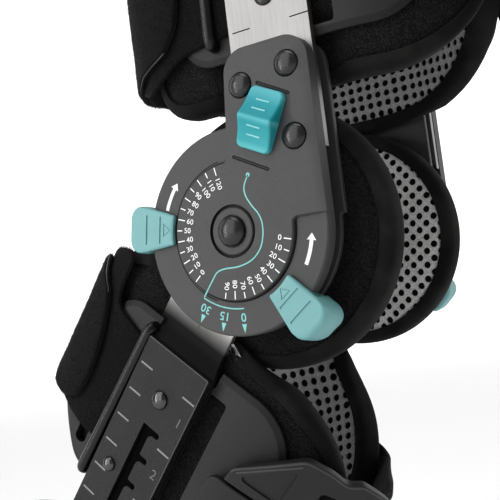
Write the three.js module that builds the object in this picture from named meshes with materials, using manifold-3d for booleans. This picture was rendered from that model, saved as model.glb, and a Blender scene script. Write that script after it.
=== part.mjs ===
// Hinged knee brace with adjustable stops, in the bent pose in which it is worn.
// Millimetres. +X is forward, +Y is towards the inner side of the leg, +Z is up along the thigh.
// The origin lies on the hinge axis, midway between the lateral and the medial hinge.

import * as THREE from 'three';
import { mergeVertices } from 'three/addons/utils/BufferGeometryUtils.js';
import Module from 'manifold-3d';

const wasm = await Module();
wasm.setup();

const degree = Math.PI / 180;
const gap = 0.3;              // clearance between pieces that touch
const room = 0.8;             // clearance round what stands in a recess
const past = 5;               // how far a cutting tool runs beyond the wall it cuts
const weld = 1e-4;            // corners this close are one corner
const flexion = 38;           // bend of the knee, in degrees
const ringFace = 63.3;        // front of the stop ring, measured from the middle plane

// Depths in the hinge, measured outward from the front of the stop ring.
const cover = { front: 1.7, back: -5, dialRadius: 26.4 };
const arm = { left: 4, waist: 1.2, right: 40.2, top: 68.3, step: 1.1, corner: 9.5 };
const ring = { radius: 40, rim: -6, coreRadius: 33, back: -11, edge: 0.8, sides: 40 };
const backPlate = { front: -14.1, back: -16.6, radius: 38 };
const pivot = { shank: 4, dome: 6, rise: 3.6 };
const armRivet = { shank: 2.5, dome: 5.1, rise: 2.6 };
const armRivets = [
  { name: 'upper_front', u: 32.4, v: 57.4 },
  { name: 'upper_back', u: 12, v: 54 },
  { name: 'lower_front', u: 32.3, v: 30.3 },
];
const lock = { reach: 43.2, lean: 26, length: 23.4, width: 15, ends: 2.2, ridge: 6.8, ridgeHalf: 1 };
const lockScoop = { along: 0.35, depth: 1.3 };
const stop = { inner: 26.9, outer: 49, innerWidth: 12.4, outerWidth: 18.8, face: 2.3 };
const stopSkirt = { end: -11, edge: 1, bend: 3 };
const stopAngles = { flexion: 171.5, extension: -52 };

// Struts. The upper one stands in front of the pivot, the lower one is centred on it.
const upperStrut = { left: 4.4, right: 40, bottom: 43, top: 275, front: -5.3, thickness: 3, corner: 8 };
const strutRivet = { x: 22.2, z: 84.8, shank: 1.6, dome: 3.6, rise: 1.8 };
const lowerStrut = { half: 17.2, end: 215, thickness: 2.4, hinge: -11.4, outside: -6 };
const strutBend = { from: 51, to: 59.5, edge: 1, recess: 61.5 };
const sleeve = { half: 16.9, top: 57.8, bottom: 284, front: -3.2, thickness: 2.5 };
const slot = { left: -1.7, right: 3, tooth: 7.8, top: 90.5, pitch: 12.7, notches: 5, notchHeight: 2.6 };

// Soft pads beside the knee.
const condylePad = { x: 3, z: -2, radius: 50, thickness: 14, round: 5, roundCut: 1.5, sides: 32 };

// Plan of the leg opening at the outer face of the cuff plates, and where the strut stands in it.
const strutDepth = 8.7;
const plateFace = ringFace - strutDepth;
const facets = 24;            // flats along each half of the opening
const thighPlan = { back: -77, sideBack: -20, sideFront: 40, front: 106, strut: 22.2 };
const calfPlan = { back: -85, sideBack: -30, sideFront: 28, front: 98, strut: 0 };
const plate = { behind: 48, ahead: 56, thickness: 2.5, backCorner: 26, frontCorner: 24 };
const plateSlot = { from: 18.6, to: 26, margin: 13 };
const pad = { behind: 64, frontGap: 29, thickness: 14, corner: 32 };
const strap = { thickness: 3, width: 52, riseFrom: 50, riseTo: 22 };
const rod = { radius: 2.5, sides: 8, steps: 14, knee: 0.6, turn: 5.5, tension: 0.3 };
const buckle = { from: 36, length: 64, thickness: 4.6, corner: 13, margin: 7, overlap: 6 };

// Each cuff, with heights from its low to its high edge. Calf heights are negative, below the hinge.
const thighCuffs = [
  { name: 'thigh_lower', plateLow: 69, plateHigh: 141, padLow: 50.5, padHigh: 158, strapMiddle: 105 },
  { name: 'thigh_upper', plateLow: 190, plateHigh: 262, padLow: 171, padHigh: 278, strapMiddle: 226 },
];
const calfCuffs = [
  { name: 'calf_upper', plateLow: -135, plateHigh: -54, padLow: -136, padHigh: -46, strapMiddle: -92 },
  { name: 'calf_lower', plateLow: -278, plateHigh: -204, padLow: -292, padHigh: -188, strapMiddle: -241 },
];
const rods = { thigh: { x: 0.4, low: 71, high: 140 }, calf: { x: -20.2, low: -124, high: -55 } };

// The padded straps behind the leg, from the bar to the middle of the back.
const thighRearStrap = [
  { x: 2.6, low: 77, high: 134, inner: 0.3, outer: 3.3 },
  { x: -10, low: 77, high: 134, inner: 0.3, outer: 3.3 },
  { x: -27, low: 76, high: 137, inner: 0.3, outer: 3.5 },
  { x: -46, low: 69, high: 142, inner: -1.5, outer: 3.6 },
  { x: -56, low: 73, high: 145, inner: -6, outer: 0.4 },
  { x: -66, low: 81, high: 148, inner: -9.3, outer: -3.3 },
  { x: -75, low: 91, high: 151.5, inner: -9.6, outer: -4 },
  { x: -77, low: 92, high: 152, inner: -9.6, outer: -4 },
];
const calfRearStrap = [
  { x: -17.8, low: -118, high: -61, inner: 0.3, outer: 3.3 },
  { x: -30, low: -118, high: -61, inner: 0.3, outer: 3.3 },
  { x: -49, low: -117, high: -50, inner: 0.3, outer: 3.6 },
  { x: -64.5, low: -121, high: -55.5, inner: -2.2, outer: 2.6 },
  { x: -71, low: -122, high: -60, inner: -6, outer: 0.2 },
  { x: -77, low: -123, high: -64.5, inner: -9, outer: -3 },
  { x: -83, low: -124, high: -71, inner: -9.6, outer: -4 },
  { x: -85, low: -124, high: -72, inner: -9.6, outer: -4 },
];

const finishes = {
  housing: { color: 0x55565a, roughness: 0.6, metalness: 0 },
  rivet: { color: 0x1c1c1e, roughness: 0.3, metalness: 0.4 },
  tab: { color: 0x76c8c3, roughness: 0.5, metalness: 0 },
  lock: { color: 0x32aab4, roughness: 0.45, metalness: 0 },
  strut: { color: 0xd7d4d0, roughness: 0.35, metalness: 0.9 },
  sleeve: { color: 0x323234, roughness: 0.45, metalness: 0 },
  plate: { color: 0x3e3f42, roughness: 0.55, metalness: 0 },
  bar: { color: 0x161617, roughness: 0.35, metalness: 0.3 },
  buckle: { color: 0x3a3b3e, roughness: 0.5, metalness: 0 },
  pad_cloth: { color: 0x1c1c1e, roughness: 0.95, metalness: 0 },
  strap_pile: { color: 0x181719, roughness: 0.95, metalness: 0 },
  webbing: { color: 0x1a1a1b, roughness: 0.9, metalness: 0 },
};

// Geometry helpers

// Shared vertices merged, empty triangles dropped and faces turned outward.
function closed(source) {
  const geometry = source.clone();
  geometry.deleteAttribute('normal');
  geometry.deleteAttribute('uv');
  const merged = mergeVertices(geometry, weld);
  const index = [];
  const old = merged.index.array;
  for (let i = 0; i < old.length; i += 3) {
    const [a, b, c] = [old[i], old[i + 1], old[i + 2]];
    if (a !== b && b !== c && c !== a) index.push(a, b, c);
  }
  merged.setIndex(volumeOf(merged, index) < 0 ? reversed(index) : index);
  return merged;
}

function volumeOf(geometry, index) {
  const position = geometry.attributes.position;
  const corners = [new THREE.Vector3(), new THREE.Vector3(), new THREE.Vector3()];
  let volume = 0;
  for (let i = 0; i < index.length; i += 3) {
    corners.forEach((corner, k) => corner.fromBufferAttribute(position, index[i + k]));
    volume += corners[0].dot(corners[1].clone().cross(corners[2])) / 6;
  }
  return volume;
}

function reversed(index) {
  const turned = [];
  for (let i = 0; i < index.length; i += 3) turned.push(index[i], index[i + 2], index[i + 1]);
  return turned;
}

function solid(geometry) {
  const merged = closed(geometry);
  const vertProperties = new Float32Array(merged.attributes.position.array);
  const triVerts = new Uint32Array(merged.index.array);
  return new wasm.Manifold(new wasm.Mesh({ numProp: 3, vertProperties, triVerts }));
}

function geometryOf(body) {
  const mesh = body.getMesh();
  const geometry = new THREE.BufferGeometry();
  geometry.setAttribute('position', new THREE.BufferAttribute(new Float32Array(mesh.vertProperties), 3));
  geometry.setIndex(Array.from(mesh.triVerts));
  return geometry;
}

function cut(geometry, ...tools) {
  return geometryOf(tools.reduce((body, tool) => body.subtract(solid(tool)), solid(geometry)));
}

function common(first, second) {
  return geometryOf(solid(first).intersect(solid(second)));
}

// A flat shape in the hinge's face plane, given depth from back to front.
function slab(shape, back, front, curveSegments = 6) {
  const options = { depth: front - back, bevelEnabled: false, curveSegments };
  return new THREE.ExtrudeGeometry(shape, options).translate(0, 0, back);
}

function rectangle(left, bottom, right, top) {
  return new THREE.Shape([
    new THREE.Vector2(left, bottom),
    new THREE.Vector2(right, bottom),
    new THREE.Vector2(right, top),
    new THREE.Vector2(left, top),
  ]);
}

function hole(x, y, radius) {
  return new THREE.Path().absarc(x, y, radius, 0, 2 * Math.PI, true);
}

// A turned piece about the hinge's own axis, from pairs of radius and depth.
function turned(profile, segments) {
  const points = profile.map(([radius, depth]) => new THREE.Vector2(radius, depth));
  return new THREE.LatheGeometry(points, segments).rotateX(90 * degree);
}

// From the hinge's face plane to the lateral side of the brace.
function standing(geometry) {
  return geometry.rotateX(90 * degree).translate(0, -ringFace, 0);
}

function mirrored(geometry) {
  return closed(geometry.clone().scale(1, -1, 1));
}

// The leg opening

// One closed loop round the leg, as flat facets that every wall on it shares.
// Distance runs from the back, along the lateral side, to the front.
function legLoop({ back, sideBack, sideFront, front }) {
  const path = new THREE.Path();
  path.absellipse(sideBack, 0, sideBack - back, plateFace, Math.PI, 1.5 * Math.PI, false);
  path.lineTo(sideFront, -plateFace);
  path.absellipse(sideFront, 0, front - sideFront, plateFace, 1.5 * Math.PI, 2 * Math.PI, false);
  const length = path.getLength();
  const step = length / facets;
  const corners = [];
  for (let i = 0; i <= facets; i += 1) {
    const { x, y } = path.getPoint(i / facets);
    const tangent = path.getTangent(i / facets);
    corners.push({ x, y, nx: tangent.y, ny: -tangent.x });
  }
  Object.assign(corners[0], { y: 0, nx: -1, ny: 0 });
  Object.assign(corners[facets], { y: 0, nx: 1, ny: 0 });
  const at = (distance) => {
    const medial = distance < 0 || distance > length;
    const folded = distance < 0 ? -distance : Math.min(distance, 2 * length - distance);
    const first = Math.min(Math.floor(folded / step), facets - 1);
    const place = mix(corners[first], corners[first + 1], folded / step - first);
    return medial ? { ...place, y: -place.y, ny: -place.ny } : place;
  };
  const distanceAt = (x) => {
    const last = corners.findIndex((corner) => corner.x >= x);
    const first = Math.max(last - 1, 0);
    const span = corners[last].x - corners[first].x;
    return step * (first + (span > 0 ? (x - corners[first].x) / span : 0));
  };
  return { length, step, at, distanceAt };
}

function mix(first, second, fraction) {
  const mixed = {};
  for (const key of Object.keys(first)) {
    mixed[key] = THREE.MathUtils.lerp(first[key], second[key], fraction);
  }
  return mixed;
}

// Stations of distance, inner and outer offset, low and high edge, with the loop's own corners added.
function onFacets(loop, stations) {
  const all = [stations[0]];
  for (let i = 0; i + 1 < stations.length; i += 1) {
    const [here, next] = [stations[i], stations[i + 1]];
    const span = next.distance - here.distance;
    const near = 0.02;
    const first = Math.ceil((here.distance + near) / loop.step);
    for (let k = first; k * loop.step < next.distance - near; k += 1) {
      all.push(mix(here, next, (k * loop.step - here.distance) / span));
    }
    all.push(next);
  }
  return all;
}

// A wall that follows the loop from station to station.
function wall(loop, rows) {
  const stations = onFacets(loop, rows);
  const positions = [];
  const index = [];
  for (const { distance, inner, outer, low, high } of stations) {
    const { x, y, nx, ny } = loop.at(distance);
    for (const [offset, height] of [[outer, low], [outer, high], [inner, high], [inner, low]]) {
      positions.push(x + nx * offset, y + ny * offset, height);
    }
  }
  for (let i = 0; i + 1 < stations.length; i += 1) {
    for (let k = 0; k < 4; k += 1) {
      const a = 4 * i + k;
      const b = 4 * i + ((k + 1) % 4);
      index.push(a, b, a + 4, b, b + 4, a + 4);
    }
  }
  const last = 4 * (stations.length - 1);
  index.push(0, 2, 1, 0, 3, 2, last, last + 1, last + 2, last, last + 2, last + 3);
  const geometry = new THREE.BufferGeometry();
  geometry.setAttribute('position', new THREE.Float32BufferAttribute(positions, 3));
  geometry.setIndex(index);
  return geometry;
}

// A wall with rounded corners, of even height between them.
function panel(loop, { from, to, inner, outer, low, high, backCorner, frontCorner }) {
  const cornerSteps = 4;
  const start = [];
  const end = [];
  for (let i = 0; i <= cornerSteps; i += 1) {
    const turn = (90 * degree * i) / cornerSteps;
    const [along, inset] = [1 - Math.cos(turn), 1 - Math.sin(turn)];
    start.push({ distance: from + backCorner * along, inset: backCorner * inset });
    end.unshift({ distance: to - frontCorner * along, inset: frontCorner * inset });
  }
  const stations = [...start, ...end];
  return wall(loop, stations.map(({ distance, inset }) => ({
    distance, inner, outer, low: low + inset, high: high - inset,
  })));
}

// Hinge pieces, in the face plane of the hinge

// The arm joined to a round plate.
function keyhole(radius) {
  const shape = new THREE.Shape();
  const { left, waist, right, top, step, corner } = arm;
  const joinLeft = Math.acos(waist / radius);
  const joinRight = 2 * Math.PI + Math.asin(step / radius);
  shape.moveTo(right, step);
  shape.lineTo(right, top - corner);
  shape.absarc(right - corner, top - corner, corner, 0, 90 * degree, false);
  shape.lineTo(left + corner, top);
  shape.absarc(left + corner, top - corner, corner, 90 * degree, 180 * degree, false);
  shape.absarc(0, 0, radius, joinLeft, joinRight, false);
  return shape;
}

function drilled(shape, rivets) {
  rivets.forEach(({ u, v }) => shape.holes.push(hole(u, v, armRivet.shank + gap)));
  return shape;
}

function hingeCover() {
  const shape = drilled(keyhole(cover.dialRadius), armRivets);
  shape.holes.push(hole(0, 0, pivot.shank + gap));
  const clear = (ring.radius + gap) / Math.cos(Math.PI / ring.sides);
  const depth = gap - cover.back + past;
  const ringSpace = new THREE.CylinderGeometry(clear, clear, depth, ring.sides);
  ringSpace.rotateX(90 * degree).translate(0, 0, gap - depth / 2);
  return cut(slab(shape, cover.back, cover.front), ringSpace);
}

function hingeBack() {
  const shape = drilled(keyhole(backPlate.radius), armRivets);
  shape.holes.push(hole(0, 0, pivot.shank + gap));
  return slab(shape, backPlate.back, backPlate.front);
}

function stopRing() {
  const bore = pivot.shank + gap;
  return turned([
    [bore, 0],
    [bore, ring.back],
    [ring.coreRadius, ring.back],
    [ring.coreRadius, ring.rim],
    [ring.radius, ring.rim],
    [ring.radius, -ring.edge],
    [ring.radius - ring.edge, 0],
    [bore, 0],
  ], ring.sides);
}

// A domed head on a round shank that ends flush with the back of the hinge.
function rivet({ shank, dome, rise }, seat, end) {
  const base = seat + gap;
  const profile = [[0, end], [shank, end], [shank, base], [dome, base]];
  const rings = 3;
  for (let i = 1; i <= rings; i += 1) {
    const turn = (90 * degree * i) / rings;
    profile.push([i === rings ? 0 : dome * Math.cos(turn), base + rise * Math.sin(turn)]);
  }
  return turned(profile, 12);
}

// A finger wedge with two scooped slopes, lying along the line from the pivot.
function lockSlider() {
  const { reach, lean, length, width, ends, ridge, ridgeHalf } = lock;
  const half = length / 2;
  const shape = new THREE.Shape();
  shape.moveTo(-half, 0);
  shape.lineTo(half, 0);
  shape.lineTo(half, ends);
  shape.quadraticCurveTo(half * lockScoop.along, ends * lockScoop.depth, ridgeHalf, ridge);
  shape.lineTo(-ridgeHalf, ridge);
  shape.quadraticCurveTo(-half * lockScoop.along, ends * lockScoop.depth, -half, ends);
  const geometry = slab(shape, -width / 2, width / 2, 4);
  geometry.rotateX(90 * degree).translate(reach, 0, cover.front + gap);
  return geometry.rotateZ((90 - lean) * degree);
}

// A tab that widens outward over the ring's face and turns down over its rim.
function stopTab(angle) {
  const { inner, outer, innerWidth, outerWidth, face } = stop;
  const { end, edge, bend } = stopSkirt;
  const rimSide = ring.radius + gap;
  const shape = new THREE.Shape();
  shape.moveTo(inner, gap);
  shape.lineTo(rimSide, gap);
  shape.lineTo(rimSide, end);
  shape.lineTo(outer - edge, end);
  shape.lineTo(outer, end + edge);
  shape.lineTo(outer, 0);
  shape.quadraticCurveTo(outer, face, outer - bend, face);
  shape.lineTo(inner, face);
  const geometry = slab(shape, -0.5, 0.5, 4).rotateX(90 * degree);
  const position = geometry.attributes.position;
  for (let i = 0; i < position.count; i += 1) {
    const along = (position.getX(i) - inner) / (outer - inner);
    position.setY(i, position.getY(i) * THREE.MathUtils.lerp(innerWidth, outerWidth, along));
  }
  return geometry.rotateZ(angle * degree);
}

// Struts, sleeve and pads beside the knee

function upperStrutBar() {
  const { left, right, bottom, top, front, thickness, corner } = upperStrut;
  const shape = new THREE.Shape();
  shape.moveTo(left, bottom);
  shape.lineTo(right, bottom);
  shape.lineTo(right, top - corner);
  shape.absarc(right - corner, top - corner, corner, 0, 90 * degree, false);
  shape.absarc(left + corner, top - corner, corner, 90 * degree, 180 * degree, false);
  drilled(shape, armRivets.filter(({ v }) => v > bottom));
  shape.holes.push(hole(strutRivet.x, strutRivet.z, strutRivet.shank + gap));
  return slab(shape, front - thickness, front);
}

// Flat behind the ring, then stepped outward to carry the sleeve.
function lowerStrutBar() {
  const { half, end, thickness, hinge, outside } = lowerStrut;
  const { from, to, edge } = strutBend;
  const plan = new THREE.Shape();
  plan.moveTo(-half, 0);
  plan.lineTo(-half, -end);
  plan.lineTo(half, -end);
  plan.lineTo(half, 0);
  plan.absarc(0, 0, half, 0, 180 * degree, false);
  plan.holes.push(hole(0, 0, pivot.shank + gap));
  const side = new THREE.Shape();
  side.moveTo(half + past, hinge);
  side.lineTo(-from, hinge);
  side.lineTo(-to, outside);
  side.lineTo(-end - past, outside);
  side.lineTo(-end - past, outside - thickness);
  side.lineTo(-to - edge, outside - thickness);
  side.lineTo(-from - edge, hinge - thickness);
  side.lineTo(half + past, hinge - thickness);
  const across = slab(side, -half - past, half + past);
  across.rotateX(90 * degree).rotateZ(90 * degree);
  return common(slab(plan, hinge - thickness - past, outside + past), across);
}

// A flat cover over the strut with a notched slot down its middle.
function calfSleeve() {
  const shape = rectangle(-sleeve.half, -sleeve.bottom, sleeve.half, -sleeve.top);
  const { left, right, tooth, top, pitch, notches, notchHeight } = slot;
  const bottom = top + pitch * notches;
  const outline = [new THREE.Vector2(left, -bottom), new THREE.Vector2(left, -top)];
  for (let i = 0; i < notches; i += 1) {
    const high = top + pitch * i;
    outline.push(new THREE.Vector2(tooth, -high));
    outline.push(new THREE.Vector2(tooth, -high - notchHeight));
    outline.push(new THREE.Vector2(right, -high - notchHeight));
    if (i + 1 < notches) outline.push(new THREE.Vector2(right, -high - pitch));
  }
  outline.push(new THREE.Vector2(right, -bottom));
  shape.holes.push(new THREE.Path(outline));
  return slab(shape, sleeve.front - sleeve.thickness, sleeve.front);
}

function condyleCushion() {
  const { x, z, radius, thickness, round, roundCut, sides } = condylePad;
  const front = backPlate.back - gap;
  const back = front - thickness;
  const geometry = turned([
    [0, front],
    [radius - round, front],
    [radius - roundCut, front - roundCut],
    [radius, front - round],
    [radius, back + round],
    [radius - roundCut, back + roundCut],
    [radius - round, back],
    [0, back],
  ], sides);
  return geometry.translate(x, z, 0);
}

// Cuffs

function cuffPlate(loop, plan, { plateLow, plateHigh }, { notched }) {
  const from = loop.distanceAt(plan.strut - plate.behind);
  const to = loop.distanceAt(plan.strut + plate.ahead);
  const { thickness, backCorner, frontCorner } = plate;
  const shell = panel(loop, {
    from, to, inner: -thickness, outer: 0, low: plateLow, high: plateHigh, backCorner, frontCorner,
  });
  const tools = [
    boxBetween(
      [plan.strut + plateSlot.from, -plateFace - past, plateLow + plateSlot.margin],
      [plan.strut + plateSlot.to, -plateFace + past, plateHigh - plateSlot.margin],
    ),
  ];
  if (notched) {
    const half = lowerStrut.half + room;
    tools.push(boxBetween(
      [-half, -plateFace - past, -strutBend.recess],
      [half, -plateFace + past, plateHigh + past],
    ));
  }
  return cut(shell, ...tools);
}

function boxBetween(low, high) {
  const [a, b] = [new THREE.Vector3(...low), new THREE.Vector3(...high)];
  const size = b.clone().sub(a);
  const middle = a.add(b).multiplyScalar(0.5);
  return new THREE.BoxGeometry(size.x, size.y, size.z).translate(middle.x, middle.y, middle.z);
}

function cuffPad(loop, plan, { padLow, padHigh }, tools) {
  const outer = -plate.thickness - gap;
  const shell = panel(loop, {
    from: loop.distanceAt(plan.strut - pad.behind),
    to: loop.length - pad.frontGap,
    inner: outer - pad.thickness,
    outer,
    low: padLow,
    high: padHigh,
    backCorner: pad.corner,
    frontCorner: pad.corner,
  });
  return tools.length ? cut(shell, ...tools) : shell;
}

// Room in the thigh pad for the hinge's back plate.
function armRecess() {
  return boxBetween(
    [arm.waist - room, -plateFace - past, 0],
    [arm.right + room, -ringFace - backPlate.back + room, arm.top + room],
  );
}

// Room in the calf pad for the cushion beside the knee and for the bend of the lower strut.
function kneeRecess() {
  const reach = condylePad.radius + Math.hypot(condylePad.x, condylePad.z) + room;
  const across = 2 * (plateFace + past);
  return new THREE.CylinderGeometry(reach, reach, across, condylePad.sides);
}

function strutRecess() {
  const half = lowerStrut.half + room;
  const depth = -ringFace - lowerStrut.hinge + lowerStrut.thickness + room;
  return boxBetween([-half, -plateFace - past, -strutBend.recess], [half, depth, 0]);
}

// Rows from one side, joined over the back of the leg to the same rows mirrored.
function rearStrap(loop, rows) {
  const half = rows.map(({ x, ...edges }) => ({ distance: -loop.distanceAt(x), ...edges }));
  const other = half.slice(0, -1).map((station) => ({ ...station, distance: -station.distance }));
  return wall(loop, [...half, ...other.reverse()]);
}

// A flat band at an even height.
function band(distance, inner, middle) {
  const half = strap.width / 2;
  return { distance, inner, outer: inner + strap.thickness, low: middle - half, high: middle + half };
}

function frontStrap(loop, plan, { strapMiddle }) {
  const from = loop.distanceAt(plan.strut + buckle.from + buckle.overlap);
  return wall(loop, [band(from, gap, strapMiddle), band(2 * loop.length - from, gap, strapMiddle)]);
}

// A whole loop, in two joined halves, that rises over the struts on both sides.
function loopStrap(loop, plan, { strapMiddle }, overStrut) {
  const strut = loop.distanceAt(plan.strut);
  const stations = [];
  for (let i = 0; i <= facets; i += 1) {
    const distance = i * loop.step;
    const away = Math.abs(distance - strut);
    const rise = 1 - THREE.MathUtils.smoothstep(away, strap.riseTo, strap.riseFrom);
    stations.push(band(distance, gap + overStrut * rise, strapMiddle));
  }
  const lateral = wall(loop, stations);
  return geometryOf(solid(lateral).add(solid(mirrored(lateral))));
}

function cuffBuckle(loop, plan, { strapMiddle }) {
  const inner = 2 * gap + strap.thickness;
  const half = strap.width / 2 + buckle.margin;
  const from = loop.distanceAt(plan.strut + buckle.from);
  return panel(loop, {
    from,
    to: from + buckle.length,
    inner,
    outer: inner + buckle.thickness,
    low: strapMiddle - half,
    high: strapMiddle + half,
    backCorner: buckle.corner,
    frontCorner: buckle.corner,
  });
}

// A straight bar whose two ends turn in to the cuff plate and hold the strap against it.
function strapRod({ x, low, high }) {
  const { radius, sides, steps, knee, turn, tension } = rod;
  const out = 2 * gap + strap.thickness + radius;
  const foot = gap;
  const points = [
    [low + radius, foot],
    [low + radius, out * knee],
    [low + turn, out],
    [(low + high) / 2, out],
    [high - turn, out],
    [high - radius, out * knee],
    [high - radius, foot],
  ];
  const curve = new THREE.CatmullRomCurve3(
    points.map(([height, offset]) => new THREE.Vector3(x, -plateFace - offset, height)),
    false,
    'catmullrom',
    tension,
  );
  const section = new THREE.Shape();
  for (let i = 0; i < sides; i += 1) {
    const angle = (2 * Math.PI * i) / sides;
    const [u, v] = [radius * Math.cos(angle), radius * Math.sin(angle)];
    if (i === 0) section.moveTo(u, v);
    else section.lineTo(u, v);
  }
  return new THREE.ExtrudeGeometry(section, { steps, extrudePath: curve, bevelEnabled: false });
}

// Assembly

function mesh(group, name, geometry, finish) {
  const body = closed(geometry);
  body.computeVertexNormals();
  const piece = new THREE.Mesh(body, new THREE.MeshStandardMaterial(finishes[finish]));
  piece.name = name;
  group.add(piece);
}

function pair(group, name, geometry, finish) {
  mesh(group, `lateral_${name}`, geometry, finish);
  mesh(group, `medial_${name}`, mirrored(geometry), finish);
}

const brace = new THREE.Group();
const thigh = new THREE.Group();
const shank = new THREE.Group();
shank.rotation.y = flexion * degree;
brace.add(thigh, shank);

pair(thigh, 'hinge_cover', standing(hingeCover()), 'housing');
pair(thigh, 'stop_ring', standing(stopRing()), 'housing');
pair(thigh, 'hinge_back', standing(hingeBack()), 'housing');
pair(thigh, 'pivot_rivet', standing(rivet(pivot, cover.front, backPlate.back)), 'rivet');
for (const { name, u, v } of armRivets) {
  const head = rivet(armRivet, cover.front, backPlate.back).translate(u, v, 0);
  pair(thigh, `${name}_rivet`, standing(head), 'rivet');
}
pair(thigh, 'lock_slider', standing(lockSlider()), 'lock');
for (const [name, angle] of Object.entries(stopAngles)) {
  pair(thigh, `${name}_stop`, standing(stopTab(angle)), 'tab');
}
pair(thigh, 'upper_strut', standing(upperStrutBar()), 'strut');
const strutBack = upperStrut.front - upperStrut.thickness;
const strutHead = rivet(strutRivet, upperStrut.front, strutBack).translate(strutRivet.x, strutRivet.z, 0);
pair(thigh, 'strut_rivet', standing(strutHead), 'rivet');
pair(thigh, 'condyle_pad', standing(condyleCushion()), 'pad_cloth');

pair(shank, 'lower_strut', standing(lowerStrutBar()), 'strut');
pair(shank, 'calf_sleeve', standing(calfSleeve()), 'sleeve');

const halves = [
  {
    group: thigh,
    loop: legLoop(thighPlan),
    plan: thighPlan,
    cuffs: thighCuffs,
    bar: rods.thigh,
    rear: thighRearStrap,
    recesses: [armRecess()],
    strutRise: ringFace + upperStrut.front - plateFace,
    notched: false,
  },
  {
    group: shank,
    loop: legLoop(calfPlan),
    plan: calfPlan,
    cuffs: calfCuffs,
    bar: rods.calf,
    rear: calfRearStrap,
    recesses: [kneeRecess(), strutRecess()],
    strutRise: ringFace + sleeve.front - plateFace,
    notched: true,
  },
];
for (const { group, loop, plan, cuffs, bar, rear, recesses, strutRise, notched } of halves) {
  const [near, far] = cuffs;
  pair(group, `${near.name}_plate`, cuffPlate(loop, plan, near, { notched }), 'plate');
  pair(group, `${near.name}_pad`, cuffPad(loop, plan, near, recesses), 'pad_cloth');
  pair(group, `${near.name}_bar`, strapRod(bar), 'bar');
  mesh(group, `${near.name}_rear_strap`, rearStrap(loop, rear), 'strap_pile');
  mesh(group, `${near.name}_front_strap`, frontStrap(loop, plan, near), 'webbing');
  mesh(group, `${near.name}_buckle`, cuffBuckle(loop, plan, near), 'buckle');
  pair(group, `${far.name}_plate`, cuffPlate(loop, plan, far, { notched: false }), 'plate');
  pair(group, `${far.name}_pad`, cuffPad(loop, plan, far, []), 'pad_cloth');
  mesh(group, `${far.name}_strap`, loopStrap(loop, plan, far, strutRise), 'webbing');
}

export default brace;
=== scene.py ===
import math

import bmesh
import bpy
import numpy as np
from mathutils import Matrix, Vector, noise
from mathutils.geometry import tessellate_polygon


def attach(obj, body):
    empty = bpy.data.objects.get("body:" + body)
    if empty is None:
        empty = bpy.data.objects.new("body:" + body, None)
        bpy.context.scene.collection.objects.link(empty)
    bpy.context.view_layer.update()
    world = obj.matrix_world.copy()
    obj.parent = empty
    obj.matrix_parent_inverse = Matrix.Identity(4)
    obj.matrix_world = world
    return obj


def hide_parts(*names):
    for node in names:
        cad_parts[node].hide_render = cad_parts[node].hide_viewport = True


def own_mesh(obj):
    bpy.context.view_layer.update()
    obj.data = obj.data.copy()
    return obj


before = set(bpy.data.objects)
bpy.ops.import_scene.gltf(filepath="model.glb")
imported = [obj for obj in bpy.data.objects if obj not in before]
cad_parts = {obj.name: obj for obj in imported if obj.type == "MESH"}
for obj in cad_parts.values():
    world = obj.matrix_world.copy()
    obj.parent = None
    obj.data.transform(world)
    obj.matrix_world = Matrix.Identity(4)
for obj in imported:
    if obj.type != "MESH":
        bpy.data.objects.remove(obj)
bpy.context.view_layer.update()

sides = ("lateral", "medial")

# Shared measures in mm and degrees. Hinge pieces are drawn flat: forward, up, outward from the ring's face.
brace = {"ringFace": 63.3, "plateFace": 54.6, "flexion": 38.0}
limbPlan = {
    "thigh": {"back": -77, "sideBack": -20, "sideFront": 40, "front": 106, "strut": 22.2},
    "calf": {"back": -85, "sideBack": -30, "sideFront": 28, "front": 98, "strut": 0},
}


# Outlines

def arcPoints(cx, cy, radius, fromDeg, toDeg, stepDeg=5):
    count = max(2, int(abs(toDeg - fromDeg) / stepDeg) + 1)
    a = np.radians(np.linspace(fromDeg, toDeg, count))
    return np.c_[cx + radius * np.cos(a), cy + radius * np.sin(a)]


def wayAt(deg):
    a = math.radians(deg)
    return np.array([math.cos(a), math.sin(a)])


def eased(f):  # 0 to 1, slow at both ends
    return f * f * (3 - 2 * f)


def signedArea(loop):
    x, y = loop[:, 0], loop[:, 1]
    return 0.5 * np.sum(x * np.roll(y, -1) - np.roll(x, -1) * y)


def ccw(loop):
    loop = np.asarray(loop, float)
    keep = np.linalg.norm(loop - np.roll(loop, 1, axis=0), axis=1) > 1e-5
    loop = loop[keep]
    return loop if signedArea(loop) > 0 else loop[::-1]


def softLoop(corners, stepDeg=9):  # corners are x, y and the radius that rounds them
    out = []
    n = len(corners)
    for i, (x, y, r) in enumerate(corners):
        here = np.array([x, y], float)
        if r <= 0:
            out.append(here[None])
            continue
        a = np.array(corners[i - 1][:2], float) - here
        b = np.array(corners[(i + 1) % n][:2], float) - here
        a, b = a / np.linalg.norm(a), b / np.linalg.norm(b)
        half = math.acos(max(-1, min(1, float(a @ b)))) / 2
        middle = here + (a + b) / np.linalg.norm(a + b) * r / math.sin(half)
        start, end = here + a * r / math.tan(half), here + b * r / math.tan(half)
        t0 = math.degrees(math.atan2(*(start - middle)[::-1]))
        t1 = math.degrees(math.atan2(*(end - middle)[::-1]))
        t1 = t0 + (t1 - t0 + 180) % 360 - 180
        out.append(arcPoints(*middle, r, t0, t1, stepDeg))
    return ccw(np.vstack(out))


def evenLoop(loop, count):
    closed = np.vstack([loop, loop[:1]])
    run = np.r_[0, np.cumsum(np.linalg.norm(np.diff(closed, axis=0), axis=1))]
    at = np.linspace(0, run[-1], count, endpoint=False)
    return np.c_[np.interp(at, run, closed[:, 0]), np.interp(at, run, closed[:, 1])]


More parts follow.
